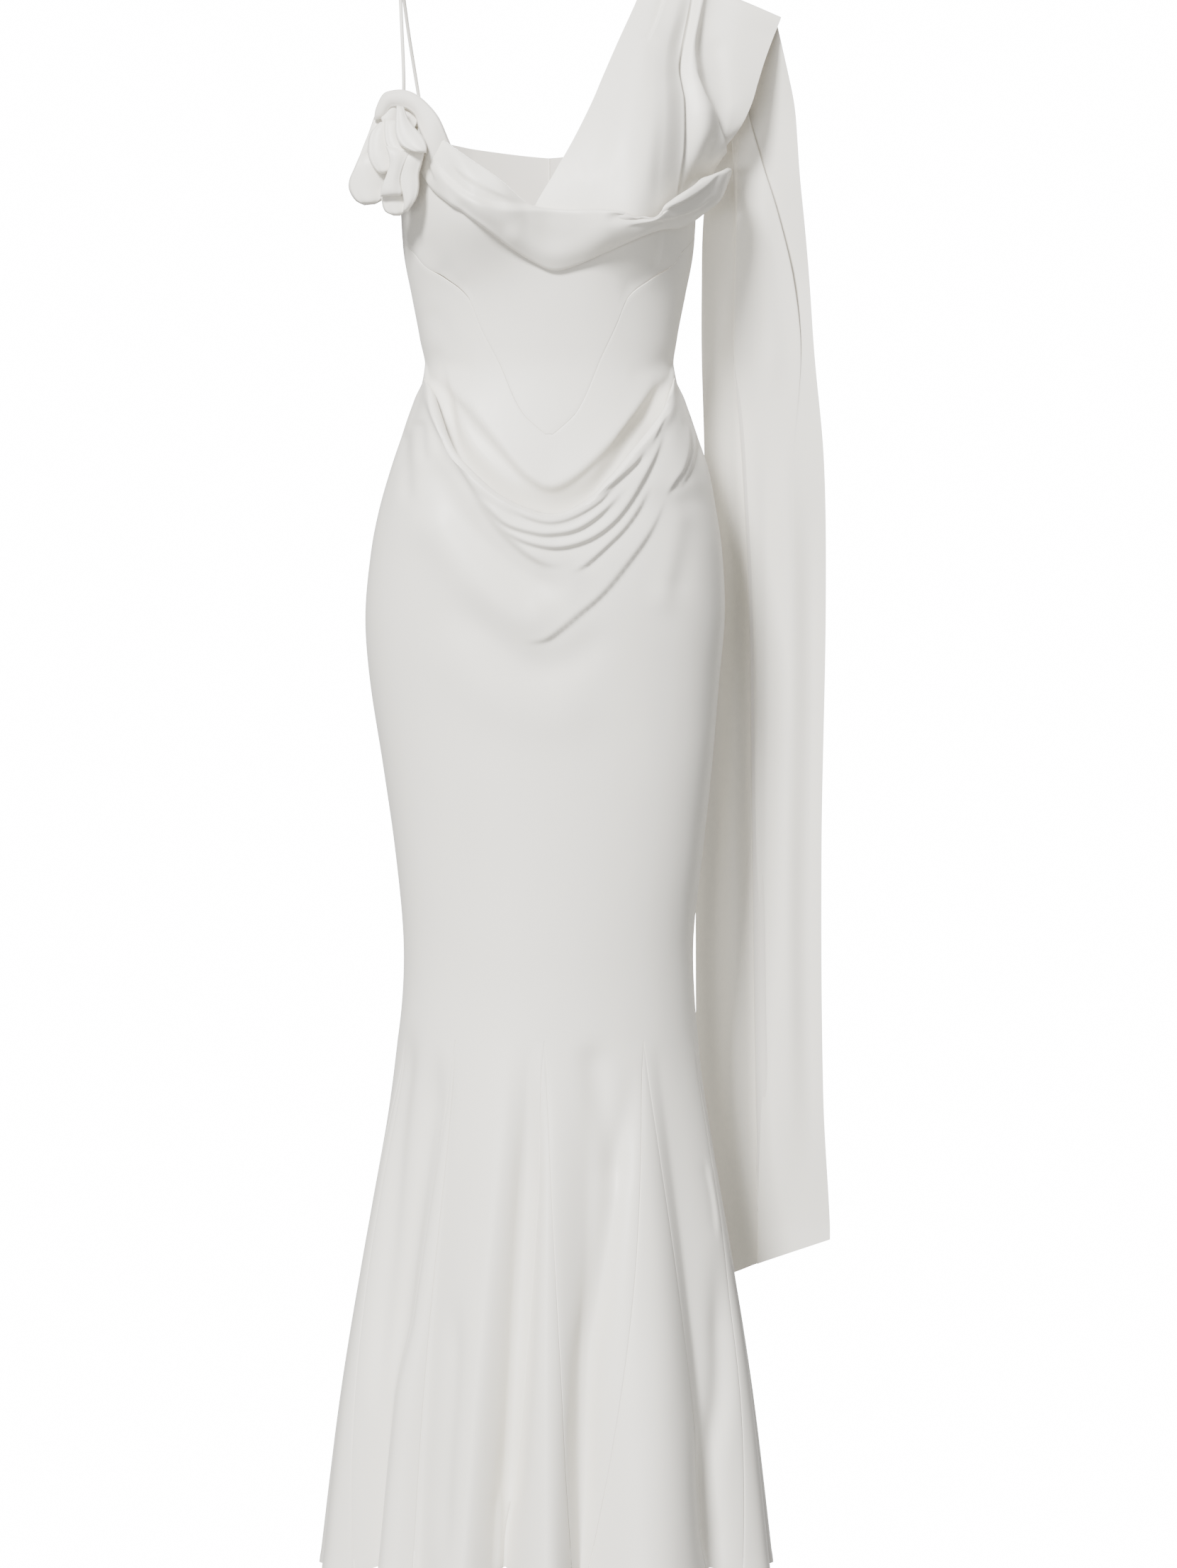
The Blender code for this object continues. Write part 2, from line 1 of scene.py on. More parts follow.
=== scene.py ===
"""An ivory satin evening gown with a cowl, a strap with a rosette, a shoulder drape and a long sash.

The gown keeps the form of a wearer who isn't there. Lengths are in millimetres until a mesh is made.
A place on the body is given by its turn in degrees, 0 at the centre front and 90 at the wearer's left,
and its height z below the shoulder tops. Names go by the wearer's side: _r is the photo's left.
"""

import bpy
import numpy as np
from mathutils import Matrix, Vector


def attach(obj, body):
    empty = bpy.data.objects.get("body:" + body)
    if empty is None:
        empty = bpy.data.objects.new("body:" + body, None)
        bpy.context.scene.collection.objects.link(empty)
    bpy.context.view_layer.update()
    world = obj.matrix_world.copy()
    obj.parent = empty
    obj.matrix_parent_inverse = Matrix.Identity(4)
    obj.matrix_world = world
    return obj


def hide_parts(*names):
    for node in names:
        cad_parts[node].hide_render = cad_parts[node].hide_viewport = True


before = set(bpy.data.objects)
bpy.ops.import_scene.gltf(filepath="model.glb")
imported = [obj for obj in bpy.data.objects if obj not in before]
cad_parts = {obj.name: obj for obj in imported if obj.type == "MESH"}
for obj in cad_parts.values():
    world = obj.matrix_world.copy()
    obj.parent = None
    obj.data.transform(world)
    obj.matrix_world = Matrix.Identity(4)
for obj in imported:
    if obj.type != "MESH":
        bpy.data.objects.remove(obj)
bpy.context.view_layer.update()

# The photographer's room.
# The gown is cut out on plain white, so the camera sees a white world that lights the cloth only a little.
# One large soft light hangs in front, above and to the left, a weak one stands low in front and one hangs
# behind. The camera stands far off, level with the hips.

room = bpy.data.worlds.new("white_room")
room.use_nodes = True
room_nodes, room_links = room.node_tree.nodes, room.node_tree.links
dim_light = room_nodes["Background"]
dim_light.inputs["Color"].default_value = (1, 1, 1, 1)
dim_light.inputs["Strength"].default_value = 0.46
white_ground = room_nodes.new("ShaderNodeBackground")
white_ground.inputs["Color"].default_value = (1, 1, 1, 1)
white_ground.inputs["Strength"].default_value = 16
seen_or_not = room_nodes.new("ShaderNodeMixShader")
rays = room_nodes.new("ShaderNodeLightPath")
room_links.new(rays.outputs["Is Camera Ray"], seen_or_not.inputs["Fac"])
room_links.new(dim_light.outputs["Background"], seen_or_not.inputs[1])
room_links.new(white_ground.outputs["Background"], seen_or_not.inputs[2])
room_links.new(seen_or_not.outputs["Shader"], room_nodes["World Output"].inputs["Surface"])
bpy.context.scene.world = room


def add_soft_light(name, place, aim, size, watts):
    lamp = bpy.data.lights.new(name, "AREA")
    lamp.shape = "RECTANGLE"
    lamp.size, lamp.size_y = size
    lamp.energy = watts
    light = bpy.data.objects.new(name, lamp)
    light.location = place
    light.rotation_euler = (Vector(aim) - Vector(place)).to_track_quat("-Z", "Y").to_euler()
    bpy.context.scene.collection.objects.link(light)


add_soft_light("key_light", (-2.5, -6.0, 4.2), (0, 0, -0.8), (1.6, 1.6), 1850)
add_soft_light("hem_light", (-1.2, -4.6, -0.6), (0, 0, -1.4), (1.6, 0.8), 90)
add_soft_light("back_light", (1.8, 6.5, 3.0), (0, 0, -0.8), (2.2, 2.2), 900)

lens = bpy.data.cameras.new("camera")
lens.sensor_fit = "VERTICAL"
lens.sensor_height = 36
lens.lens = 209.3
camera = bpy.data.objects.new("camera", lens)
camera.location = (0.0375, -9.0, -0.7994)
camera.rotation_euler = (np.pi / 2, 0, 0)
bpy.context.scene.collection.objects.link(camera)
bpy.context.scene.camera = camera

# Bodice front.
# Two bust cups and the long V between them, cut as one piece of crepe-backed satin and closed all round
# by the seam under the bust. Its top edge is faced and lies hidden behind the cowl.

# Thickness of the cloth, and half the gap at a seam: in mm, and at a side seam in degrees
WALL = 0.9
SEAM = 0.03
SIDE_SEAM = 0.002

# Each cup: how full, how far from the middle, how high, half its width and half its height
CUP_FULL, CUP_APART, CUP_LEVEL, CUP_WIDE, CUP_TALL = 36, 78, -238, 48, 52
# Girth and height of the cups' piece, between its seams
CUPS_SIZE = (430, 140)

# The form under the cloth: height, centre, half width, depth in front, depth behind, roundness
FORM = [
    (-1580, -4.5, 213, 200, 206, 1.0), (-1411, -4, 197.5, 175, 180, 1.0), (-1285, -3.5, 181, 152, 157, 1.0),
    (-1159, -3, 161, 128, 133, 1.0), (-1075, -3, 148, 113, 118, 0.98), (-1010, -2, 141, 106, 111, 0.96),
    (-949, -2, 140, 104, 109, 0.94), (-865, -1.5, 148.5, 103, 113, 0.92), (-781, -3, 159, 104, 121, 0.90),
    (-697, -6, 169, 106, 132, 0.90), (-634, -5.5, 174, 107, 138, 0.90), (-571, -4, 170, 106, 136, 0.90),
    (-529, -3, 163, 104, 129, 0.90), (-487, -1, 153, 100, 117, 0.90), (-445, -1, 139, 93, 101, 0.90),
    (-393, -1, 123, 85, 86, 0.90), (-361, -2, 127, 86, 87, 0.90), (-319, -2, 135, 90, 90, 0.90),
    (-277, -2, 143, 94, 94, 0.88), (-235, -2, 146, 97, 97, 0.87), (-200, -2, 148, 95, 97, 0.85),
    (-150, -2, 149, 88, 95, 0.82), (-90, -1, 149, 76, 90, 0.80),
]

# Top edge of the front, behind the cowl: turn, height
FRONT_TOP = [(-90, -205), (-80, -150), (-72, -124), (-62, -133), (-52, -148), (-38, -182), (-30, -202),
             (-19, -219), (-7, -242), (2, -249), (16, -251), (34, -255), (48, -239), (62, -222),
             (76, -210), (90, -205)]

# Seam under the bust and down to the V point: turn, height
BUST_SEAM = [(-90, -262), (-68, -277), (-58, -292), (-45, -305), (-33, -325), (-29, -350), (-20, -392),
             (-10, -434), (-4, -450), (-1.2, -457), (0, -460), (1.2, -457), (4, -450), (10, -434),
             (20, -392), (29, -350), (33, -325), (45, -306), (58, -292), (68, -275), (90, -256)]

# Creases of the cups, in mm as seen from the front: depth, half width, soft edge, places (x, z)
CUP_CREASES = [
    ("left cup dart", 1.8, 6, 1.2, [(110, -255), (108, -278), (104, -300)]),
    ("left cup pull", 0.8, 9, None, [(128, -262), (118, -285), (98, -303)]),
    ("right cup pull", 0.7, 12, None, [(-128, -262), (-112, -284), (-88, -303)]),
    ("under the right cup", 1.8, 11, None, [(-118, -292), (-92, -312), (-66, -318)]),
    ("under the left cup", 1.7, 11, None, [(118, -284), (92, -306), (66, -316)]),
    ("right waist pull", 1.6, 13, None, [(-104, -372), (-84, -392), (-56, -402)]),
    ("left waist pull", 1.5, 13, None, [(106, -366), (88, -384), (60, -392)]),
]


def follow(table, at, column=1):
    """One column of a table between its rows, on a smooth curve."""
    rows = np.array([[float(value) for value in row] for row in table])
    keys, values = rows[:, 0], rows[:, column]
    at = np.clip(at, keys[0], keys[-1])
    low = np.clip(np.searchsorted(keys, at) - 1, 0, len(keys) - 2)
    high, before = low + 1, np.maximum(low - 1, 0)
    after = np.minimum(low + 2, len(keys) - 1)
    span = keys[high] - keys[low]
    t = (at - keys[low]) / span
    rise = values[high] - values[low]
    slope_low = (values[high] - values[before]) / (keys[high] - keys[before]) * span
    slope_high = (values[after] - values[low]) / (keys[after] - keys[low]) * span
    bend = (slope_low - rise) * (1 - t) - (slope_high - rise) * t
    return values[low] + rise * t + t * (1 - t) * bend


def ease(t):
    """0 below 0, 1 above 1, and smooth between."""
    t = np.clip(t, 0, 1)
    return t * t * (3 - 2 * t)


def form(turn, z):
    """Points of the plain form, as an array with x, y and z last."""
    centre, half, front, back, power = (follow(FORM, z, column) for column in range(1, 6))
    across, along = np.sin(np.radians(turn)), np.cos(np.radians(turn))
    depth = np.where(along > 0, front, back)
    x = centre + half * np.abs(across) ** power * np.sign(across)
    y = -depth * np.abs(along) ** power * np.sign(along)
    return np.stack([x, y, z + 0 * x], axis=-1)


def skin(turn, z):
    """The bodice's outer face: the form with its two cups."""
    points = form(turn, z)
    cups = 0
    for side in (-1, 1):
        away, above = points[..., 0] - side * CUP_APART, z - CUP_LEVEL
        cups = cups + CUP_FULL * np.exp(-(away / CUP_WIDE) ** 2 - (above / CUP_TALL) ** 2)
    points[..., 1] -= cups * ease(np.cos(np.radians(turn)) * 3)
    return points


def outward(points):
    """The direction that a grid of points faces; its rows run down and its columns to the right."""
    down, along = np.gradient(points, axis=0), np.gradient(points, axis=1)
    facing = np.cross(down, along)
    return facing / np.maximum(np.linalg.norm(facing, axis=-1, keepdims=True), 1e-9)


def shares(count, crowd=0.85):
    """Places from 0 to 1 that lie closer together near both ends."""
    t = np.linspace(0, 1, count)
    return t - crowd * np.sin(2 * np.pi * t) / (2 * np.pi)


def crease_depth(points, creases):
    """How far a list of creases moves the points in or out, as they are seen from the front.

    A crease with a soft edge is a lapped fold: the cloth stands proud on its left, seen along the way
    that its places run, and drops on its right. One without is a soft trough, or a ridge if negative.
    """
    x, z = points[..., 0], points[..., 2]
    total = np.zeros_like(x)
    for label, depth, wide, edge, places in creases:
        table = [(k, *place) for k, place in enumerate(places)]
        along = np.linspace(0, len(places) - 1, 8 * len(places))
        line_x, line_z = follow(table, along, 1), follow(table, along, 2)
        nearest = np.full_like(x, 1e9)
        side, at = np.zeros_like(x), np.zeros_like(x)
        for k in range(len(along) - 1):
            run_x, run_z = line_x[k + 1] - line_x[k], line_z[k + 1] - line_z[k]
            from_x, from_z = x - line_x[k], z - line_z[k]
            t = np.clip((from_x * run_x + from_z * run_z) / (run_x ** 2 + run_z ** 2), 0, 1)
            away = np.hypot(from_x - t * run_x, from_z - t * run_z)
            closer = away < nearest
            nearest = np.where(closer, away, nearest)
            side = np.where(closer, np.sign(run_x * from_z - run_z * from_x), side)
            at = np.where(closer, (k + t) / (len(along) - 1), at)
        fade = ease(at / 0.22) * ease((1 - at) / 0.22)
        if edge is None:
            total -= depth * fade * np.exp(-(nearest / wide) ** 2)
        else:
            total += 0.5 * depth * fade * np.tanh(side * nearest / edge) * np.exp(-nearest / wide)
    return total


def groove(gap, depth, width, turned_in):
    """How far cloth dips at that distance from a seam, with its allowance turned in at the very edge."""
    return depth * np.exp(-(gap / width) ** 1.5) + turned_in * (gap < 1e-6)


def seam_dip(across, down, edges, size):
    """How far the cloth dips where it goes into a seam at the edges named: top, bottom, left, right."""
    width, height = size
    gap = np.full(np.broadcast(across, down).shape, 1e9)
    distances = {"left": across * width, "right": (1 - across) * width,
                 "top": down * height, "bottom": (1 - down) * height}
    for edge in edges:
        gap = np.minimum(gap, distances[edge])
    return groove(gap, depth=0.4, width=2.2, turned_in=0.7)


def satin(name, colour, roughness, sheen):
    """Crepe-backed satin on one face: fine crepe grain, a nap that runs down, faint slubs and tone."""
    material = bpy.data.materials.new(name)
    material.use_nodes = True
    nodes, links = material.node_tree.nodes, material.node_tree.links
    shader = nodes["Principled BSDF"]
    shader.inputs["Sheen Weight"].default_value = sheen
    shader.inputs["Sheen Roughness"].default_value = 0.45
    shader.inputs["Sheen Tint"].default_value = (1.0, 0.98, 0.95, 1)
    shader.inputs["Specular IOR Level"].default_value = 0.36
    place = nodes.new("ShaderNodeTexCoord")

    def grain(label, scale, stretch, detail):
        stretched = nodes.new("ShaderNodeMapping")
        stretched.inputs["Scale"].default_value = stretch
        noise = nodes.new("ShaderNodeTexNoise")
        noise.label = label
        noise.inputs["Scale"].default_value = scale
        noise.inputs["Detail"].default_value = detail
        links.new(place.outputs["Object"], stretched.inputs["Vector"])
        links.new(stretched.outputs["Vector"], noise.inputs["Vector"])
        return noise.outputs["Fac"]

    tone = nodes.new("ShaderNodeValToRGB")
    tone.color_ramp.elements[0].position = 0.3
    tone.color_ramp.elements[0].color = [value * 0.968 for value in colour] + [1]
    tone.color_ramp.elements[1].position = 0.7
    tone.color_ramp.elements[1].color = [value * 1.012 for value in colour] + [1]
    links.new(grain("cloudy tone", 9, (1, 1, 0.35), 3), tone.inputs["Fac"])
    links.new(tone.outputs["Color"], shader.inputs["Base Color"])

    gloss = nodes.new("ShaderNodeMapRange")
    gloss.inputs["To Min"].default_value = roughness - 0.05
    gloss.inputs["To Max"].default_value = roughness + 0.06
    links.new(grain("nap", 260, (1, 1, 0.06), 4), gloss.inputs["Value"])
    links.new(gloss.outputs["Result"], shader.inputs["Roughness"])

    crepe = nodes.new("ShaderNodeBump")
    crepe.inputs["Strength"].default_value = 0.16
    crepe.inputs["Distance"].default_value = 0.0003
    links.new(grain("crepe grain", 1500, (1, 1, 0.55), 2), crepe.inputs["Height"])
    handled = nodes.new("ShaderNodeBump")
    handled.inputs["Strength"].default_value = 0.35
    handled.inputs["Distance"].default_value = 0.0016
    links.new(grain("soft dents", 26, (1, 1, 0.5), 1), handled.inputs["Height"])
    links.new(crepe.outputs["Normal"], handled.inputs["Normal"])
    links.new(handled.outputs["Normal"], shader.inputs["Normal"])
    return material


satin_face = satin("ivory_satin", (0.82, 0.79, 0.715), 0.42, 0.16)
crepe_back = satin("ivory_crepe_back", (0.77, 0.735, 0.67), 0.62, 0.1)


def add_cloth(name, outer, keep=None, wall=WALL):
    """A closed thin shell from a grid of points on its right side; keep says which cells are cloth."""
    rows, columns = outer.shape[:2]
    inner = outer - outward(outer) * wall
    if keep is None:
        keep = np.ones((rows - 1, columns - 1), bool)
    number = np.arange(rows * columns).reshape(rows, columns)
    a, b = number[:-1, :-1], number[1:, :-1]
    c, d = number[1:, 1:], number[:-1, 1:]
    face_out = np.stack([a, b, c, d], axis=-1)[keep]
    face_in = face_out[:, ::-1] + rows * columns
    edges = []
    padded = np.pad(keep, 1)
    for shift, (p, q) in [((0, -1), (a, b)), ((1, 0), (b, c)), ((0, 1), (c, d)), ((-1, 0), (d, a))]:
        beside = padded[1 + shift[0]:rows + shift[0], 1 + shift[1]:columns + shift[1]]
        open_edge = keep & ~beside
        p, q = p[open_edge], q[open_edge]
        edges.append(np.stack([q, p, p + rows * columns, q + rows * columns], axis=-1))
    faces = np.concatenate([face_out, face_in] + edges)
    used, faces = np.unique(faces, return_inverse=True)
    faces = faces.reshape(-1, 4)
    points = np.concatenate([outer.reshape(-1, 3), inner.reshape(-1, 3)])[used]
    mesh = bpy.data.meshes.new(name)
    mesh.from_pydata((points * 0.001).tolist(), [], faces.tolist())
    mesh.shade_smooth()
    mesh.set_sharp_from_angle(angle=np.radians(60))
    mesh.materials.append(satin_face)
    mesh.materials.append(crepe_back)
    side = np.zeros(len(faces), np.int32)
    side[len(face_out):len(face_out) + len(face_in)] = 1
    mesh.polygons.foreach_set("material_index", side)
    piece = bpy.data.objects.new(name, mesh)
    bpy.context.scene.collection.objects.link(piece)
    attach(piece, "root")
    return piece


across = shares(170)[None, :]
down = shares(70)[:, None]
turn = -90 + SIDE_SEAM + (180 - 2 * SIDE_SEAM) * across
top, seam = follow(FRONT_TOP, turn), follow(BUST_SEAM, turn) + SEAM
z = top + (seam - top) * down
points = skin(turn + 0 * z, z)
seam_pull = 0.8 + 0.2 * ease((abs(turn) - 26) / 10)
dip = crease_depth(points, CUP_CREASES)
dip -= seam_pull * seam_dip(across, down, ["bottom", "left", "right"], CUPS_SIZE)
bodice_front = add_cloth("bodice_front_satin", points + outward(points) * dip[..., None])
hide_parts("bodice_front")

# Basque.
# The fitted front below the seam under the bust, cut in one piece. Its soft lower ridge shows above the
# hip swag, and it runs on behind the swag's lip, where it is sewn to the skirt's lining seam.

# Lip of the hip swag: turn, height
SWAG_LIP = [(-90, -396), (-78, -400), (-62, -407), (-54, -416), (-47, -434), (-38, -463), (-32, -480),
            (-22, -502), (-13, -520), (-4, -533), (1, -537), (6, -533), (13, -519), (20, -498), (30, -470),
            (47, -436), (68, -405), (90, -396)]

BASQUE_CREASES = [
    ("lower ridge", 8.5, 17, 3.4,
     [(-122, -392), (-100, -413), (-80, -435), (-49, -472), (-25, -499), (0, -512), (24, -502),
      (59, -469), (104, -411), (116, -396)]),
    ("hollow under the ridge", 1.8, 9, None,
     [(-118, -408), (-84, -446), (-46, -488), (-20, -514), (2, -523), (26, -514), (60, -484),
      (104, -424)]),
    ("waist pull right", 0.8, 9, None, [(-120, -372), (-98, -388), (-70, -394)]),
    ("waist pull left", 0.9, 9, None, [(120, -378), (100, -392), (74, -400)]),
    ("side drag", 0.8, 10, None, [(-124, -330), (-106, -352), (-94, -380)]),
]
BASQUE_SIZE = (400, 120)
# Behind the lip the cloth stands proud near the sides and is tucked in across the front
SIDE_PROUD, FRONT_TUCK = 2.4, 9

across = shares(170)[None, :]
down = shares(70)[:, None]
turn = -90 + SIDE_SEAM + (180 - 2 * SIDE_SEAM) * across
seam = follow(BUST_SEAM, turn) - SEAM
bottom = follow(SWAG_LIP, turn) - 3 - 13 * ease((84 - abs(turn)) / 16)
z = seam + (bottom - seam) * down
points = skin(turn + 0 * z, z)
proud = SIDE_PROUD * ease((abs(turn) - 52) / 14) * ease((90 - abs(turn)) / 12)
tuck = FRONT_TUCK * ease((62 - abs(turn)) / 20)
dip = proud * ease((bottom + 21 - z) / 10) - tuck * ease((bottom + 42 - z) / 26)
dip += crease_depth(points, BASQUE_CREASES)
dip -= seam_pull * seam_dip(across, down, ["top", "left", "right"], BASQUE_SIZE)
basque_front = add_cloth("basque_front_satin", points + outward(points) * dip[..., None])
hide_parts("basque_front")

# Back bodice.
# Two halves of satin joined down the centre back, over a concealed closing that reads as a plain seam.
# The top edge is faced and dips a little at the centre.

WAIST = -396
BACK_SIZE = (200, 220)
BACK_TOP = [(90, -205), (112, -176), (135, -162), (155, -167), (180, -175)]
BACK_CREASES = [
    ("right blade pull", 0.9, 12, None, [(-118, -232), (-84, -256), (-44, -262)]),
    ("left blade pull", 0.9, 12, None, [(120, -228), (86, -250), (42, -258)]),
    ("right waist buckle", 1.1, 6, None, [(-104, -350), (-66, -362), (-22, -356)]),
    ("left waist buckle", 1.1, 6, None, [(108, -344), (70, -358), (20, -352)]),
    ("right low buckle", 0.9, 6, None, [(-96, -376), (-58, -384), (-16, -378)]),
    ("left low buckle", 0.9, 6, None, [(92, -372), (60, -382), (22, -377)]),
]

for name, side in [("back_l", 1), ("back_r", -1)]:
    across = shares(70)[None, :]
    down = shares(80)[:, None]
    turn = side * (90 + SIDE_SEAM + (90 - 2 * SIDE_SEAM) * across)
    top = follow(BACK_TOP, abs(turn))
    z = top + (WAIST + 2 * SEAM - top) * down
    if side < 0:
        turn, z = turn[:, ::-1], z[:, ::-1]
    points = skin(turn + 0 * z, z)
    dip = crease_depth(points, BACK_CREASES)
    dip -= seam_dip(across, down, ["bottom", "left", "right"], BACK_SIZE)
    back = add_cloth(f"{name}_satin", points + outward(points) * dip[..., None])
    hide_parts(name)

# Front skirt.
# One length of satin. Its top is turned in to a rolled lip that hangs in a deep curve over the basque,
# and U folds run down from both hips below it. From the knee it splits into tongues between the godets.

HIP_LEVEL, KNEE, HEM = -800, -1050, -1572
# How far the skirt stands off the form, and half the width of a godet's peak in degrees
LIFT = 3.5
PEAK_HALF = 0.12
FLARE_ROWS = 78

# The rolled lip, from inside over the top: drop from the lip, how far out
LIP_ROLL = [(14, -1.8), (8, 1.5), (3.6, 4.6), (1.0, 7.8), (0, 10.8), (1.2, 13.6), (3.8, 15.2)]
# How far the swag hangs out: share of the way from the lip to the hip level, how far out
SWAG_HANG = [(0, 15.6), (0.02, 15.4), (0.045, 13.2), (0.08, 12.4), (0.13, 11.0), (0.22, 8.0),
             (0.36, 4.6), (0.55, 1.8), (0.8, 0), (1, 0)]

# Ridges and troughs of the flare: turn at the knee, turn at the hem, how far out at the hem
FLARE = [
    (-180, -180, 16), (-162, -162, -16), (-144, -144, 16), (-126, -126, -16), (-108, -108, 15),
    (-91, -90, -12), (-73, -67, 14), (-46, -55, -15), (-41, -44, 9), (-36, -36, -6), (-15, -21, 12),
    (-6, -12, -22), (-1, 1, 15), (17, 10, -18), (38, 29, 19), (46, 54, -13), (74, 68, 14),
    (90, 89, -12), (108, 108, 15), (126, 126, -16), (144, 144, 16), (162, 162, -16), (180, 180, 16),
]

# Godets: turn of the peak, turns of the two seams at the hem
GODETS = [(-73, -87, -60), (-37, -54, -37.5), (-1, -12.5, 7.5), (39, 12, 50), (75, 61, 87),
          (108, 97, 119), (144, 133, 155), (180, 169, 191), (216, 205, 227), (252, 241, 263)]

SWAG_CREASES = [
    ("lip crease", 2.6, 7, 1.2, [(-40, -530), (-22, -540), (0, -545), (22, -540), (50, -523), (66, -503)]),
    ("first fold", 8.0, 9, 2.2,
     [(-66, -522), (-58, -533), (-43, -547), (-19, -555), (2, -557), (29, -551), (56, -531), (74, -508)]),
    ("second fold", 7.6, 10, 2.2,
     [(-52, -544), (-40, -556), (-19, -566), (8, -570), (36, -563), (59, -548), (76, -528), (93, -500),
      (106, -473), (114, -448)]),
    ("short fold", 5.4, 7, 1.8, [(50, -514), (58, -509), (70, -499), (84, -486), (92, -474)]),
    ("third fold", 6.2, 10, 2.0, [(26, -593), (36, -586), (56, -568), (73, -551), (88, -530), (100, -506)]),
    ("fourth fold", 5.6, 14, 2.2,
     [(-28, -662), (-6, -660), (10, -650), (28, -635), (52, -614), (76, -585), (100, -551), (116, -515)]),
    ("side fold", 5.0, 9, 1.8, [(113, -520), (124, -503), (132, -490), (137, -470), (137, -444)]),
    ("side gather", 3.2, 6, 1.3, [(128, -512), (140, -488), (145, -462), (144, -440)]),
    ("waist gather", 3.0, 7, 1.3, [(98, -470), (110, -446), (118, -424), (120, -408)]),
    ("right edge fold", 8.0, 15, 3.4,
     [(-128, -408), (-120, -432), (-111, -453), (-93, -483), (-73, -517), (-56, -545), (-32, -570),
      (-8, -585), (18, -588)]),
    ("broad trough", 5.5, 15, None,
     [(-122, -470), (-107, -504), (-83, -545), (-46, -582), (-10, -604), (24, -612)]),
    ("low swell", -4.2, 20, None, [(-128, -520), (-108, -560), (-70, -606), (-24, -636), (14, -632)]),
    ("low trough", 3.4, 18, None, [(-100, -606), (-62, -654), (-20, -684), (24, -676), (66, -636)]),
    ("far swell", -2.2, 26, None, [(-120, -640), (-70, -706), (0, -734), (60, -700)]),
    ("right tuck", 2.4, 6, None, [(-130, -440), (-128, -460), (-124, -490)]),
    ("right long tuck", 2.8, 7, None, [(-146, -446), (-143, -480), (-140, -530)]),
    ("left hip trough", 2.8, 14, None, [(138, -500), (132, -560), (120, -630)]),
    ("left hip swell", -2.8, 13, None, [(132, -520), (122, -575), (104, -640)]),
]

# Creases of the flare in front, from the godets' peaks down
FLARE_CREASES = [
    ("first trough", 7.5, 12, None,
     [(-105, -1056), (-114, -1130), (-125, -1213), (-139, -1301), (-154, -1400)]),
    ("first soft line", 5.0, 8, None, [(-92, -1290), (-95, -1380), (-101, -1460), (-104, -1572)]),
    ("second trough", 8.0, 12, None,
     [(-13, -1064), (-19, -1186), (-24, -1282), (-29, -1377), (-36, -1460), (-50, -1560)]),
    ("hem notch", 4.0, 6, 1.4, [(-46, -1480), (-49, -1520), (-53, -1576)]),
    ("third trough", 8.0, 12, None,
     [(84, -1060), (69, -1149), (57, -1236), (46, -1301), (36, -1357), (32, -1452), (34, -1574)]),
    ("third soft hollow", 4.6, 13, None, [(38, -1046), (47, -1091), (58, -1152), (62, -1200)]),
    ("last hollow", 7.0, 11, None,
     [(164, -1240), (167, -1330), (166, -1396), (156, -1464), (158, -1529), (165, -1574)]),
    ("side flute", 3.0, 5, 1.3, [(152, -1170), (156, -1186), (161, -1215), (164, -1250)]),
    ("right flute", 6.0, 10, None,
     [(-135, -1030), (-143, -1080), (-150, -1149), (-157, -1250), (-165, -1330), (-172, -1440)]),
]


def flare_wave(turn, z):
    """How far the flare stands out: broad ridges with narrow troughs between them."""
    turn = (turn + 180) % 360 - 180
    down = np.clip((KNEE - z) / (KNEE - HEM), 0, 1)
    wave = np.zeros_like(down + turn)
    for (knee, hem, height), (next_knee, next_hem, next_height) in zip(FLARE, FLARE[1:]):
        start = knee + (hem - knee) * down ** 0.8
        end = next_knee + (next_hem - next_knee) * down ** 0.8
        t = ease((turn - start) / (end - start))
        if next_height < height:
            t = 1 - t
        low, high = min(height, next_height), max(height, next_height)
        inside = (turn >= start) & (turn <= end)
        wave = np.where(inside, low + (high - low) * t ** 0.7, wave)
    return 1.3 * wave * down


def skirt(turn, z, hang=0):
    """Points of the skirt's right side; hang is how far a swag stands out there."""
    turn = (turn + 180) % 360 - 180
    points = form(turn, z)
    ahead, behind = form(turn + 0.5, z), form(turn - 0.5, z)
    out_x, out_y = ahead[..., 1] - behind[..., 1], behind[..., 0] - ahead[..., 0]
    length = np.hypot(out_x, out_y)
    lift = LIFT * np.maximum(ease((WAIST - z) / 25), ease((88 - abs(turn)) / 16))
    stand = lift + hang + flare_wave(turn, z)
    points[..., 0] += out_x / length * stand
    points[..., 1] += out_y / length * stand
    return points


def flare_height(turn, share):
    """The height at a share of the way from the knee to the hem, which lifts in the troughs."""
    hem = HEM + 0.5 * np.maximum(0, -flare_wave(turn, HEM + 0 * turn))
    return KNEE + (hem - KNEE) * share


def godet_seam(godet, side, share):
    peak, first, last = godet
    start = peak + side * PEAK_HALF
    return start + ((first if side < 0 else last) - start) * share


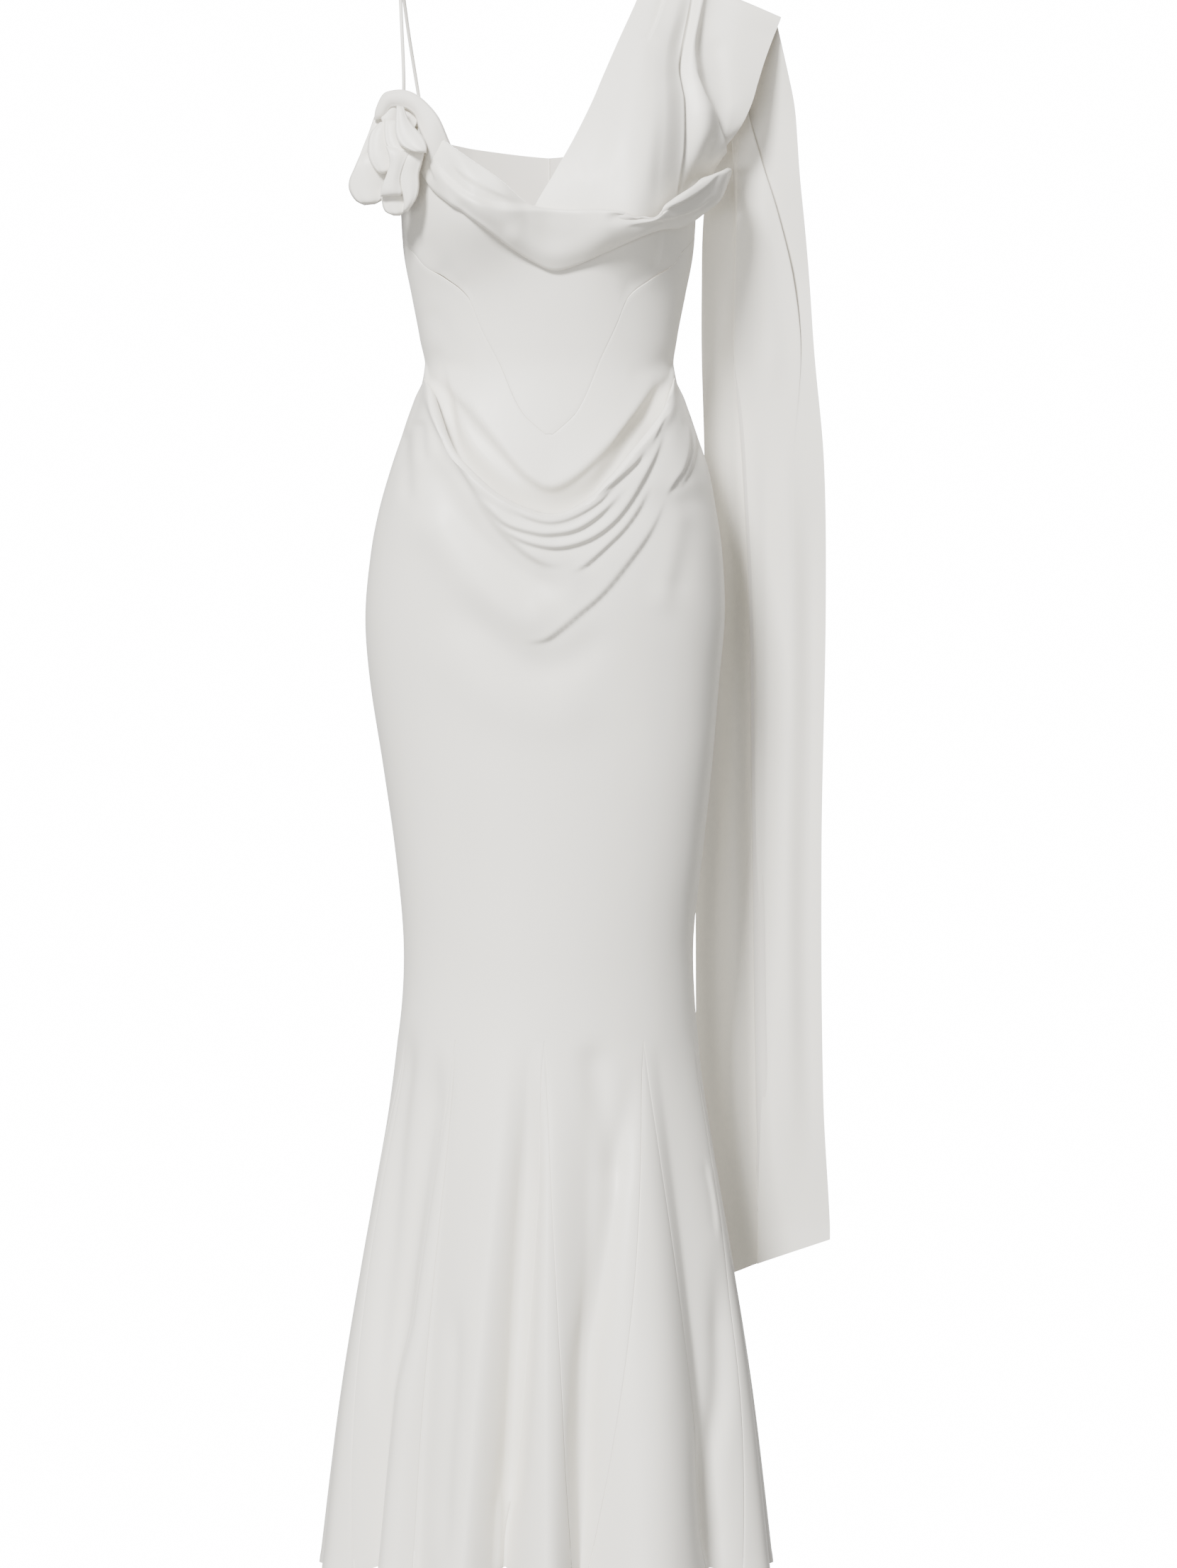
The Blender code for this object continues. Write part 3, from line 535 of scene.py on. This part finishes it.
def skirt_columns(start, end, share, lane_cells):
    """Turns of a skirt panel's columns at each share down the flare, and its lanes between godets."""
    inside = [godet for godet in GODETS if start < godet[0] < end]
    edges = [start + SIDE_SEAM + 0 * share]
    for godet in inside:
        edges += [godet_seam(godet, side, share) for side in (-1, 1)]
    edges.append(end - SIDE_SEAM + 0 * share)
    for godet in GODETS:
        if godet[0] == start:
            edges[0] = godet_seam(godet, 1, share)
        if godet[0] == end:
            edges[-1] = godet_seam(godet, -1, share)
    turns, places, widths = [], [], []
    for lane, cells in enumerate(lane_cells):
        left, right = edges[2 * lane], edges[2 * lane + 1]
        u = shares(cells + 1, 0.75)[None, :]
        turns.append(left + (right - left) * u)
        places.append(u + 0 * turns[-1])
        widths.append(right - left + 0 * u)
    slits = np.cumsum([cells + 1 for cells in lane_cells])[:-1] - 1
    return np.concatenate(turns, 1), np.concatenate(places, 1), np.concatenate(widths, 1), slits


def seam_groove(gap):
    """The dip at a seam of the skirt."""
    return groove(gap, depth=0.35, width=2.4, turned_in=0.6)


def flare_facing(turn, z):
    """The direction that the flare faces, the same on both sides of a seam."""
    along = skirt(turn + 0.5, z) - skirt(turn - 0.5, z)
    up = skirt(turn, z + 3) - skirt(turn, z - 3)
    facing = np.cross(along, up)
    return facing / np.linalg.norm(facing, axis=-1, keepdims=True)


def hem_turn(share):
    """The hem's allowance is turned up inside: the cloth is a little prouder for its last 14 mm."""
    return 0.35 * ease((share - 0.973) / 0.006)


def add_skirt(name, start, end, lane_cells, top_rows, creases):
    """A panel of the skirt: top_rows gives z and hang for its rows down to the hip level."""
    flat_share = np.zeros((1, 1))
    turn = skirt_columns(start, end, flat_share, lane_cells)[0]
    upper_z, upper_hang = top_rows(turn)
    level = np.linspace(HIP_LEVEL, KNEE, 26)[1:-1, None] + 0 * turn
    flare_share = np.linspace(0, 1, FLARE_ROWS)[:, None]
    low_turn, place, width, slits = skirt_columns(start, end, flare_share, lane_cells)
    low_z = flare_height(low_turn, flare_share)
    above = len(upper_z) + len(level)
    z = np.concatenate([upper_z, level, low_z])
    hang = np.concatenate([upper_hang, 0 * level, 0 * low_z])
    turns = np.concatenate([np.repeat(turn, above, 0), low_turn])
    share = np.concatenate([np.zeros((above, 1)), flare_share])
    points = skirt(turns, z, hang)
    radius = np.hypot(points[..., 0], points[..., 1])
    gap = np.minimum(place, 1 - place) * np.radians(width) * radius[above:]
    side_gap = np.radians(np.minimum(turns - turns[:, :1], turns[:, -1:] - turns)) * radius
    dip = crease_depth(points, creases) * ease(side_gap / 30)
    dip[above:] -= seam_groove(gap) * ease(flare_share * 14)
    dip[:above] -= seam_groove(side_gap[:above])
    dip += hem_turn(share)
    keep = np.ones((len(z) - 1, z.shape[1] - 1), bool)
    for slit in slits:
        keep[above:, slit] = False
    facing = outward(points)
    facing[above:] = flare_facing(low_turn, low_z)
    return add_cloth(name, points + facing * dip[..., None], keep)


def swag_rows(turn):
    """The rolled lip and the swag below it, down to the hip level."""
    lip = follow(SWAG_LIP, turn)
    in_front = ease((75 - abs(turn)) / 30)
    share = np.concatenate([np.linspace(0.012, 0.5, 84, endpoint=False), np.linspace(0.5, 1, 28)])[:, None]
    roll = [(lip - drop * in_front, out * in_front) for drop, out in LIP_ROLL]
    roll_z = np.concatenate([row[0] for row in roll])
    roll_z -= np.arange(len(roll))[:, None] * 0.3 * (1 - in_front)
    roll_hang = np.concatenate([row[1] for row in roll])
    low_z = lip + (HIP_LEVEL - lip) * share
    low_z -= (1 - in_front) * 2.0 * (1 - share)
    return np.concatenate([roll_z, low_z]), np.concatenate([roll_hang, follow(SWAG_HANG, share) * in_front])


skirt_front = add_skirt("skirt_front_satin", -90, 90, [14, 34, 32, 36, 32, 12], swag_rows,
                        SWAG_CREASES + FLARE_CREASES)
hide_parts("skirt_front")

# Back skirt.
# Two lengths of satin from the waist to the hem, joined down the centre back and to the front at the
# sides. They are smooth over the seat, with a few soft pulls from the hips, and split between the godets.

SEAT_CREASES = [
    ("right hip pull", 1.4, 12, None, [(-150, -470), (-118, -520), (-70, -552)]),
    ("left hip pull", 1.8, 12, None, [(146, -452), (112, -512), (62, -548)]),
    ("left high pull", 1.4, 9, None, [(138, -424), (108, -458), (66, -480)]),
    ("right high pull", 1.0, 9, None, [(-136, -430), (-106, -460), (-70, -474)]),
    ("under the seat, right", 1.8, 18, None, [(-132, -700), (-84, -742), (-30, -758)]),
    ("under the seat, left", 1.8, 18, None, [(134, -694), (84, -738), (26, -752)]),
    ("right long pull", 1.0, 16, None, [(-120, -800), (-92, -900), (-80, -1010)]),
    ("left long pull", 1.0, 16, None, [(118, -806), (96, -905), (78, -1004)]),
]


def seat_rows(turn):
    z = np.linspace(WAIST, HIP_LEVEL, 70)[:, None] + 0 * turn
    return z, 0 * z


for name, start, end, lane_cells in [("skirt_back_l", 90, 180, [14, 26, 26]),
                                     ("skirt_back_r", 180, 270, [26, 26, 14])]:
    panel = add_skirt(f"{name}_satin", start, end, lane_cells, seat_rows, SEAT_CREASES)
    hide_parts(name)

# Godets.
# Ten wedges of the same satin let into the slits of the skirt, from the knee to the hem, so that the
# hem stands in deep flutes.

for number, godet in enumerate(GODETS):
    share = np.linspace(0, 1, FLARE_ROWS)[:, None]
    across = shares(26, 0.75)[None, :]
    first, last = godet_seam(godet, -1, share), godet_seam(godet, 1, share)
    spare = 0.004 * share
    turn = first + spare + (last - first - 2 * spare) * across
    z = flare_height(turn, share) - 0.3 * (1 - share)
    points = skirt(turn, z)
    radius = np.hypot(points[..., 0], points[..., 1])
    gap = np.minimum(across, 1 - across) * np.radians(last - first) * radius
    dip = crease_depth(points, FLARE_CREASES if godet[0] < 90 else []) - seam_groove(gap)
    dip += hem_turn(share)
    wedge = add_cloth(f"godet_{number}_satin", points + flare_facing(turn, z) * dip[..., None])
    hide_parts(f"godet_{number}")

# Cowl.
# A bias-cut piece of the same satin, caught at the strap and at the other shoulder, so that it falls in a
# soft roll across the neckline and hangs free to a point in the middle of the bust.

# Turn and height of its top fold, turn and height of its lower edge, how far it stands off
COWL = [
    (-72, -122, -54, -195, 2), (-56, -127, -50, -209, 2), (-45, -148, -43, -224, 3),
    (-37, -172, -34, -237, 3), (-28, -194, -24, -253, 2), (-18, -215, -14, -271, 1),
    (-8, -232, -5, -287, 1), (1.5, -237, 1.5, -297, 1), (12, -239, 9, -292, 1), (24, -240, 20, -279, 1),
    (36, -243, 33, -266, 2), (48, -226, 46, -258, 4), (62, -208, 61, -254, 8), (76, -196, 76, -243, 15),
    (90, -190, 90, -222, 16),
]
# From inside over the roll and down the front: share of the way up, drop from the fold, stand-off
COWL_ROLL = [(1.0, 6.5, 8.6), (1.0, 2.4, 9.6), (1.0, 0, 13.2), (1.0, 2.6, 16.8), (0.7, 0, 15.5),
             (0.35, 0, 10.5), (0.1, 0, 7.0), (0.03, 0, 5.6), (0.0, 0, 3.6)]

COWL_CREASES = [
    ("neck fold", -6.5, 10, 1.8,
     [(-113, -186), (-104, -205), (-87, -222), (-70, -232), (-46, -237), (-15, -238), (14, -240),
      (40, -244)]),
    ("inner neck fold", 2.8, 7, 1.4, [(-96, -196), (-84, -208), (-60, -222), (-30, -233)]),
    ("strap side fold", 3.6, 8, 1.5, [(-131, -142), (-124, -170), (-118, -194), (-110, -214)]),
    ("long soft swell", -3.2, 12, None,
     [(-106, -222), (-74, -244), (-40, -262), (2, -282), (48, -268), (84, -257)]),
    ("upper twist", 5.5, 7, 1.4,
     [(58, -243), (80, -243), (102, -232), (122, -219), (148, -207), (168, -192)]),
    ("middle twist", 6.0, 7, 1.4,
     [(72, -250), (90, -248), (110, -240), (130, -231), (154, -214), (170, -196)]),
    ("lower twist", 4.5, 6, 1.4, [(70, -258), (96, -254), (122, -247), (146, -236), (164, -220)]),
    ("twist hollow", 3.4, 6, None, [(50, -250), (72, -248), (98, -244), (116, -238)]),
    ("right soft hollow", 2.6, 9, None, [(-96, -232), (-66, -250), (-30, -262)]),
]


def stand_off(turn, z, out):
    """Places that far off the bodice's face."""
    along = skin(turn + 0.6, z) - skin(turn - 0.6, z)
    up = skin(turn, z + 3) - skin(turn, z - 3)
    facing = np.cross(along, up)
    facing = facing / np.linalg.norm(facing, axis=-1, keepdims=True)
    return skin(turn, z) + facing * np.asarray(out)[..., None]


def through(places, at):
    """Points on the smooth curve through numbered places; the places may themselves be rows."""
    places = np.asarray(places, float)
    low = np.clip(np.floor(at).astype(int), 0, len(places) - 2)
    t = (at - low).reshape((-1,) + (1,) * (places.ndim - 1))
    one, two = places[low], places[low + 1]
    before, after = places[np.maximum(low - 1, 0)], places[np.minimum(low + 2, len(places) - 1)]
    rise = two - one
    start = np.where((low > 0).reshape(t.shape), (two - before) / 2, rise)
    end = np.where((low < len(places) - 2).reshape(t.shape), (after - one) / 2, rise)
    return one + rise * t + t * (1 - t) * ((start - rise) * (1 - t) - (end - rise) * t)


def smooth_grid(places, rows, columns):
    """A fine grid through a coarse one."""
    places = np.asarray(places, float)
    fine = through(places, np.linspace(0, len(places) - 1, rows))
    fine = through(fine.swapaxes(0, 1), np.linspace(0, places.shape[1] - 1, columns))
    return fine.swapaxes(0, 1)


places = []
for share, drop, out in COWL_ROLL:
    top_turn, top_z, low_turn, low_z, off = np.array(COWL).T
    turn = low_turn + (top_turn - low_turn) * share
    z = low_z + (top_z - low_z) * share - drop
    places.append(stand_off(turn, z, out + off * ease(np.array(share) * 4)))
points = smooth_grid(places, 84, 230)
points += outward(points) * crease_depth(points, COWL_CREASES)[..., None]
cowl = add_cloth("cowl_satin", points)
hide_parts("cowl")

# Strap.
# A thin round rouleau of the satin over the wearer's right shoulder, sewn into the front corner and into
# the top of the back.

STRAP = [(-144.5, -36, -95), (-147, -27, -40), (-149, -4, -3), (-147, 22, -10), (-141, 47, -55),
         (-132, 66, -112)]
STRAP_RADIUS, STRAP_SIDES = 1.8, 14

front_end = stand_off(np.array(-72.0), np.array(-122.4), -0.6)
back_end = stand_off(np.array(-128.0), follow(BACK_TOP, 128.0) + 0.6, -0.6)
route = [tuple(front_end)] + STRAP + [tuple(back_end)]
centres = through(route, np.linspace(0, len(route) - 1, 120))
along = np.gradient(centres, axis=0)
along /= np.linalg.norm(along, axis=1, keepdims=True)
aside = np.array([1.0, 0, 0]) - along * along[:, :1]
aside /= np.linalg.norm(aside, axis=1, keepdims=True)
across = np.cross(along, aside)
angles = np.linspace(0, 2 * np.pi, STRAP_SIDES, endpoint=False)
circle = aside[:, None] * np.cos(angles)[:, None] + across[:, None] * np.sin(angles)[:, None]
rings = centres[:, None] + STRAP_RADIUS * circle
strap_points = np.concatenate([rings.reshape(-1, 3), centres[:1], centres[-1:]])
strap_faces = []
for k in range(len(centres) - 1):
    ring, next_ring = STRAP_SIDES * k, STRAP_SIDES * (k + 1)
    for j in range(STRAP_SIDES):
        n = (j + 1) % STRAP_SIDES
        strap_faces.append((ring + j, ring + n, next_ring + n, next_ring + j))
first_cap = STRAP_SIDES * len(centres)
last, last_cap = first_cap - STRAP_SIDES, first_cap + 1
for j in range(STRAP_SIDES):
    n = (j + 1) % STRAP_SIDES
    strap_faces.append((n, j, first_cap))
    strap_faces.append((last + j, last + n, last_cap))
strap_mesh = bpy.data.meshes.new("strap_rouleau")
strap_mesh.from_pydata((strap_points * 0.001).tolist(), [], strap_faces)
strap_mesh.shade_smooth()
strap_mesh.materials.append(satin_face)
strap = bpy.data.objects.new("strap_rouleau", strap_mesh)
bpy.context.scene.collection.objects.link(strap)
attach(strap, "root")
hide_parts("strap")

# Shoulder drape.
# A pleated length of satin that rises from behind the cowl, lies over the wearer's left shoulder and
# comes down to the top of the back.

# Lines from the neckline to the shoulder: turn and stand-off at the neckline, places (x, z) on the way
# up and at the top, relief
DRAPE_LINES = [
    ("free edge", -4, 4.0, [(30, -155), (63, -78), (96, -2)], 0),
    ("first ridge", 14, 4.6, [(62, -158), (84, -80), (109, -3)], 3),
    ("first pleat", 30, 5.4, [(94, -158), (98, -80), (120, -4)], -1),
    ("second ridge", 42, 5.4, [(112, -150), (113, -80), (132, -6)], 3),
    ("second pleat", 54, 5.0, [(131, -146), (127, -80), (144, -8)], -2),
    ("bulge", 64, 5.0, [(150, -146), (139, -80), (152, -11)], 9),
    ("bulge edge", 73, 8.0, [(165, -146), (150, -80), (162, -15)], -3),
    ("outer ridge", 82, 12.0, [(178, -145), (178, -90), (192, -27)], 4),
    ("outer edge", 90, 14.0, [(193, -142), (210, -90), (227.5, -42)], 0),
]
DRAPE_BACK = (150, 114)
DRAPE_BOW = np.array([3.6, 14.4, 12.6])

DRAPE_CREASES = [
    ("first pleat", 4.0, 9, 1.0, [(116, -14), (110, -34), (103, -54), (94, -72)]),
    ("beige band", 1.6, 9, None, [(120, -30), (112, -90), (109, -140), (107, -200), (106, -236)]),
    ("second pleat", -6.0, 8, 1.0,
     [(141, -12), (138, -30), (132, -62), (126, -93), (128, -112), (131, -130), (131, -171),
      (128, -200), (123, -236)]),
    ("bulge edge", 5.5, 9, 1.1,
     [(152, -232), (166, -216), (173, -190), (172, -166), (160, -140), (149, -112), (143, -92)]),
    ("bulge crown", -2.0, 9, None, [(150, -120), (158, -150), (160, -180), (152, -208)]),
    ("outer hollow", 1.6, 10, None, [(160, -60), (168, -100), (178, -140)]),
    ("left pull", 1.2, 12, None, [(60, -110), (50, -160), (36, -214)]),
    ("left swell", -1.4, 14, None, [(92, -60), (80, -130), (66, -216)]),
]


def drape_rising(line, rise):
    """A place on a line of the drape, from the neckline (0) to the shoulder (1)."""
    label, turn, out, places, relief = line
    foot = stand_off(np.array(float(turn)), follow(COWL, turn) - 2, out)
    table = [(0, foot[0], foot[2])] + [((k + 1) / 3, x, z) for k, (x, z) in enumerate(places)]
    proud = relief * np.sin(np.pi * min(rise * 0.94, 1)) ** 0.7
    forward = min(foot[1], -16) * (1 - rise ** 1.6)
    y = forward + (foot[1] - min(foot[1], -16)) * (1 - ease(rise * 4)) - proud
    return np.array([follow(table, rise, 1) + 0.3 * proud, y, follow(table, rise, 2)])


def drape_falling(line, turn, fall):
    """A place on a line of the drape, from the shoulder (0) down to the top of the back (1)."""
    x, z = line[3][-1]
    end = skin(np.array(float(turn)), follow(BACK_TOP, turn) + 0.8)
    return np.array([x, 0, z]) * (1 - fall) + end * fall + DRAPE_BOW * np.sin(np.pi * fall)


back_turns = np.linspace(*DRAPE_BACK, len(DRAPE_LINES))
places = [[drape_falling(line, turn, fall) for line, turn in zip(DRAPE_LINES, back_turns)]
          for fall in (1.0, 0.72, 0.45, 0.2)]
places += [[drape_rising(line, rise) for line in DRAPE_LINES]
           for rise in (1, 0.85, 0.7, 0.56, 0.42, 0.28, 0.14, 0)]
places.append([stand_off(np.array(float(turn)), follow(COWL, turn) - 19, out)
               for label, turn, out, line, relief in DRAPE_LINES])
points = smooth_grid(places, 190, 150)
front_side = ease(np.linspace(0, 12, 190)[:, None] - 3.2)
dip = crease_depth(points, DRAPE_CREASES) * front_side
points += outward(points) * dip[..., None]
drape = add_cloth("shoulder_drape_satin", points)
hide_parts("shoulder_drape")

# Sash.
# A long double length of satin that hangs from the drape at the back of the shoulder. A knife fold runs
# down its whole length, and its outer layer steps back near the top.

# Height, left edge, knife fold, step of the outer layer, outer edge, y at the left, y outside, depth of
# the tuck, how far the step stands from 0 to 1
SASH = [
    (-1320, 145, 207, 246, 281, 119, 113, 16, 0),
    (-1240, 145, 206, 245, 279, 116, 110, 16, 0), (-1110, 145, 202, 242, 272, 106, 102, 16, 0),
    (-865, 145, 198, 238, 270, 96, 92, 16, 0), (-627, 152, 195, 240, 274, 88, 82, 16, 0),
    (-480, 153, 188, 240, 272, 78, 68, 16, 0), (-372, 150, 181, 248, 262, 67, 55, 16, 0.25),
    (-300, 150, 182, 241, 257, 60, 45, 16, 1), (-245, 151, 183, 228, 252, 53, 35, 15, 1),
    (-200, 156, 181, 214, 247, 47, 26, 11, 1), (-160, 166, 178, 197, 242, 40, 16, 5, 1),
]
# Its lower edge: x, height
SASH_BOTTOM = [(145, -1300), (181, -1289), (207, -1279), (281, -1254)]
# Where its top lies on the drape's outer edge, from the shoulder down, and how far off it in x, y and z
SASH_HANG = (0.75, 0.02)
SASH_TOP = (-3.4, 0.5, -0.5)
LAYER = 3.6

SASH_CREASES = [
    ("long soft fold", 3.4, 10, None, [(168, -240), (165, -420), (168, -700), (166, -980), (170, -1240)]),
    ("outer swell", -3.0, 12, None, [(232, -420), (240, -640), (236, -900), (240, -1230)]),
    ("under the knife fold", 3.0, 8, None,
     [(181, -330), (187, -480), (194, -627), (197, -865), (201, -1110), (206, -1290)]),
    ("beside the knife fold", 1.6, 7, None, [(212, -420), (216, -680), (214, -980), (220, -1240)]),
    ("outer hollow", 3.0, 10, None, [(256, -500), (258, -720), (254, -960), (260, -1200)]),
    ("flow from the drape", 2.4, 7, 1.2, [(186, -150), (184, -180), (184, -230), (181, -300)]),
    ("upper swell", -2.2, 10, None, [(205, -190), (212, -260), (218, -340), (222, -420)]),
]


def sash_section(z):
    """The sash's section in plan at heights z: left layer, knife fold, right layer and step."""
    left, knife, step, outer, y_left, y_outer, tuck, full = (follow(SASH, z, k) for k in range(1, 9))
    path = [
        (left, 2), (left + 2, 2), ((left + knife) / 2, 2), (knife - 1, 2), (knife + tuck - 2, 2),
        (knife + tuck, 1.5), (knife + tuck - 2, 1), (knife + 3, 1), (knife + 0.6, 0.8), (knife, 0.45),
        (knife + 1.2, 0.1), (knife + 4, 0), ((knife + step) / 2, 0), (step - 4, 0), (step - 0.5, 0),
        (step + 0.8, 0.25 * full), (step + 1.2 - 2.2 * full, 0.7 * full),
        (step + 1.8 - 6.8 * full, 1.3 * full), (step + 2.6 - 4.6 * full, 1.85 * full), (step + 5, 2 * full),
 (outer - 2, 2 * full), (outer, 2 * full),
    ]
    points = []
    for x, layer in path:
        y = y_left + (y_outer - y_left) * (x - left) / (outer - left)
        points.append(np.stack([x + 0 * z, y + layer * LAYER, z + 0 * x], axis=-1))
    section = np.stack(points, axis=-2)
    at = np.linspace(0, len(path) - 1, 6 * (len(path) - 1) + 1)
    low = np.minimum(at.astype(int), len(path) - 2)
    t = (at - low)[:, None]
    fine = section[..., low, :] * (1 - t) + section[..., low + 1, :] * t
    for k in range(5):
        fine[..., 1:-1, :] = (fine[..., :-2, :] + 2 * fine[..., 1:-1, :] + fine[..., 2:, :]) / 4
    return fine


first = sash_section(np.array(float(SASH[-1][0])))
left, outer, y_left, y_outer = SASH[-1][1], SASH[-1][4], SASH[-1][5], SASH[-1][6]
share = (first[:, 0] - left) / (outer - left)
layer = first[:, 1] - (y_left + (y_outer - y_left) * share)
fall = SASH_HANG[0] + (SASH_HANG[1] - SASH_HANG[0]) * share
hang = np.array([drape_falling(DRAPE_LINES[-1], DRAPE_BACK[1], one) for one in fall])
top = hang + SASH_TOP
top[:, 1] += 0.25 * layer
under = np.stack([first[:, 0], first[:, 1], hang[:, 2] * 0.35 - 172 * 0.65], axis=-1)
breaks = np.concatenate([[-200], np.linspace(-210, -1240, 200)])
body = sash_section(breaks)
lead = np.linspace(0, 1, 14)[:, None, None]
upper = top * (1 - lead) + under * lead
shoulder = under * (1 - lead[1:]) + body[0] * lead[1:]
bottom = body[-1].copy()
bottom[:, 2] = follow(SASH_BOTTOM, bottom[:, 0])
last = body[-1] * (1 - lead[1:]) + bottom * lead[1:]
points = np.concatenate([upper, shoulder, body[1:], last])
for k in range(8):
    points[1:-1] = (points[:-2] + 2 * points[1:-1] + points[2:]) / 4
points += outward(points) * crease_depth(points, SASH_CREASES)[..., None]
sash = add_cloth("sash_satin", points)
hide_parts("sash")

# Rosette.
# One long strip of satin, coiled, looped and folded into petals and sewn at the foot of the strap. Each
# petal is a loop with rolled edges, open behind.

# Petal, CAD node or none, how far in front, how full, left edge and right edge from its top down (x, z)
PETALS = [
    ("hood", "rosette_hood", 10, 10,
     [(-172, -149), (-170, -138), (-163.5, -125), (-155, -121.5), (-144, -121), (-132.5, -125),
      (-121, -134), (-109, -149), (-98.5, -173), (-92, -186)],
     [(-161, -147), (-158, -140), (-153, -137), (-146, -138), (-138.5, -140), (-131, -147), (-128, -158),
      (-122, -174), (-116, -194), (-110, -206)]),
    ("outer_left", "rosette_upper_left", 1, 7,
     [(-173, -146), (-178, -161), (-183.5, -175), (-188, -187)],
     [(-160, -149), (-168, -160), (-173, -172), (-178, -186)]),
    ("small_left", None, 7, 8,
     [(-154, -132), (-162, -139), (-166, -147), (-163, -154)],
     [(-146, -134), (-148, -146), (-150, -154), (-156, -154)]),
    ("low_left", "rosette_low_left", 1, 13,
     [(-186, -182), (-192, -196), (-197, -208), (-197, -218), (-191, -228), (-182, -233)],
     [(-173, -180), (-162, -192), (-158, -206), (-160, -218), (-164, -227), (-172, -232)]),
    ("bottom", "rosette_bottom", 6, 10,
     [(-164, -216), (-165, -228), (-162, -239), (-153, -244)],
     [(-139, -216), (-139, -226), (-140, -237), (-147, -244)]),
    ("long_left", "rosette_long_left", 11, 10,
     [(-167, -152), (-176, -163), (-178.5, -177), (-177, -189), (-171, -199), (-165, -203)],
     [(-159, -150), (-158, -164), (-157, -177), (-154, -189), (-155, -198), (-161, -203)]),
    ("crescent", "rosette_upper_centre", 17, 8,
     [(-162, -149), (-162, -164), (-160, -175), (-153, -182), (-140, -184)],
     [(-149, -151), (-149, -162), (-146, -172), (-141, -178), (-135, -179)]),
    ("small_centre", None, 5, 6,
     [(-146, -136), (-147, -144), (-145, -151), (-140, -157)],
     [(-134, -137), (-130, -146), (-130, -153), (-133, -159)]),
    ("low_right", "rosette_low_right", 13, 9,
     [(-142, -180), (-147, -193), (-148, -203), (-146, -217), (-143, -230), (-144, -241)],
     [(-121.5, -179), (-125, -193), (-128, -204), (-128, -217), (-131, -228), (-139, -240)]),
    ("bowl", "rosette_bowl", 19, 9,
     [(-161, -176), (-158, -185), (-157, -194), (-160.5, -206), (-165, -217), (-166, -226)],
     [(-134, -180), (-141, -193), (-145, -203), (-146, -212), (-144, -221), (-146, -225)]),
    ("swirl", "rosette_swirl", 25, 9,
     [(-150, -137), (-151, -151), (-151, -165), (-146, -176), (-136, -182), (-126, -184)],
     [(-143, -138), (-138, -151), (-131, -160), (-124, -168), (-120.5, -177), (-120.5, -184)]),
]
PETAL_ROWS, PETAL_COLUMNS = 46, 40
HOOD_SINK = 15


def rosette_base(x, z):
    """How far forward the back of the rosette lies: it follows the bust behind it."""
    return -76 - 10 * ease((-134 - z) / 60) + (-130 - x) * 0.3


for name, node, forward, fullness, left_edge, right_edge in PETALS:
    rows = through(left_edge, np.linspace(0, len(left_edge) - 1, PETAL_ROWS))
    ends = through(right_edge, np.linspace(0, len(right_edge) - 1, PETAL_ROWS))
    angle = np.radians(np.linspace(-112, 112, PETAL_COLUMNS))
    across = 0.5 + 0.5 * np.sin(angle)[None, :]
    place = rows[:, None] * (1 - across[..., None]) + ends[:, None] * across[..., None]
    down = np.linspace(0, 1, PETAL_ROWS)[:, None]
    roundness = np.sqrt(np.clip(1 - abs(2 * down - 1) ** 6, 0, 1))
    crown = np.sign(np.cos(angle)) * abs(np.cos(angle)) ** 0.75
    rim = 0.16 * np.exp(-((abs(np.degrees(angle)) - 62) / 16) ** 2)
    depth = (2.0 + (fullness - 2.0) * roundness) * (0.9 * crown + rim)[None, :]
    middle = place.mean(axis=1, keepdims=True)
    sink = HOOD_SINK * ease(4 * down - 3) if name == "hood" else 0
    y = rosette_base(middle[..., 0], middle[..., 1]) - forward - depth + sink
    points = np.stack([place[..., 0], y, place[..., 1]], axis=-1)
    petal = add_cloth(f"petal_{name}", points, wall=0.8)
    if node:
        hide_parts(node)
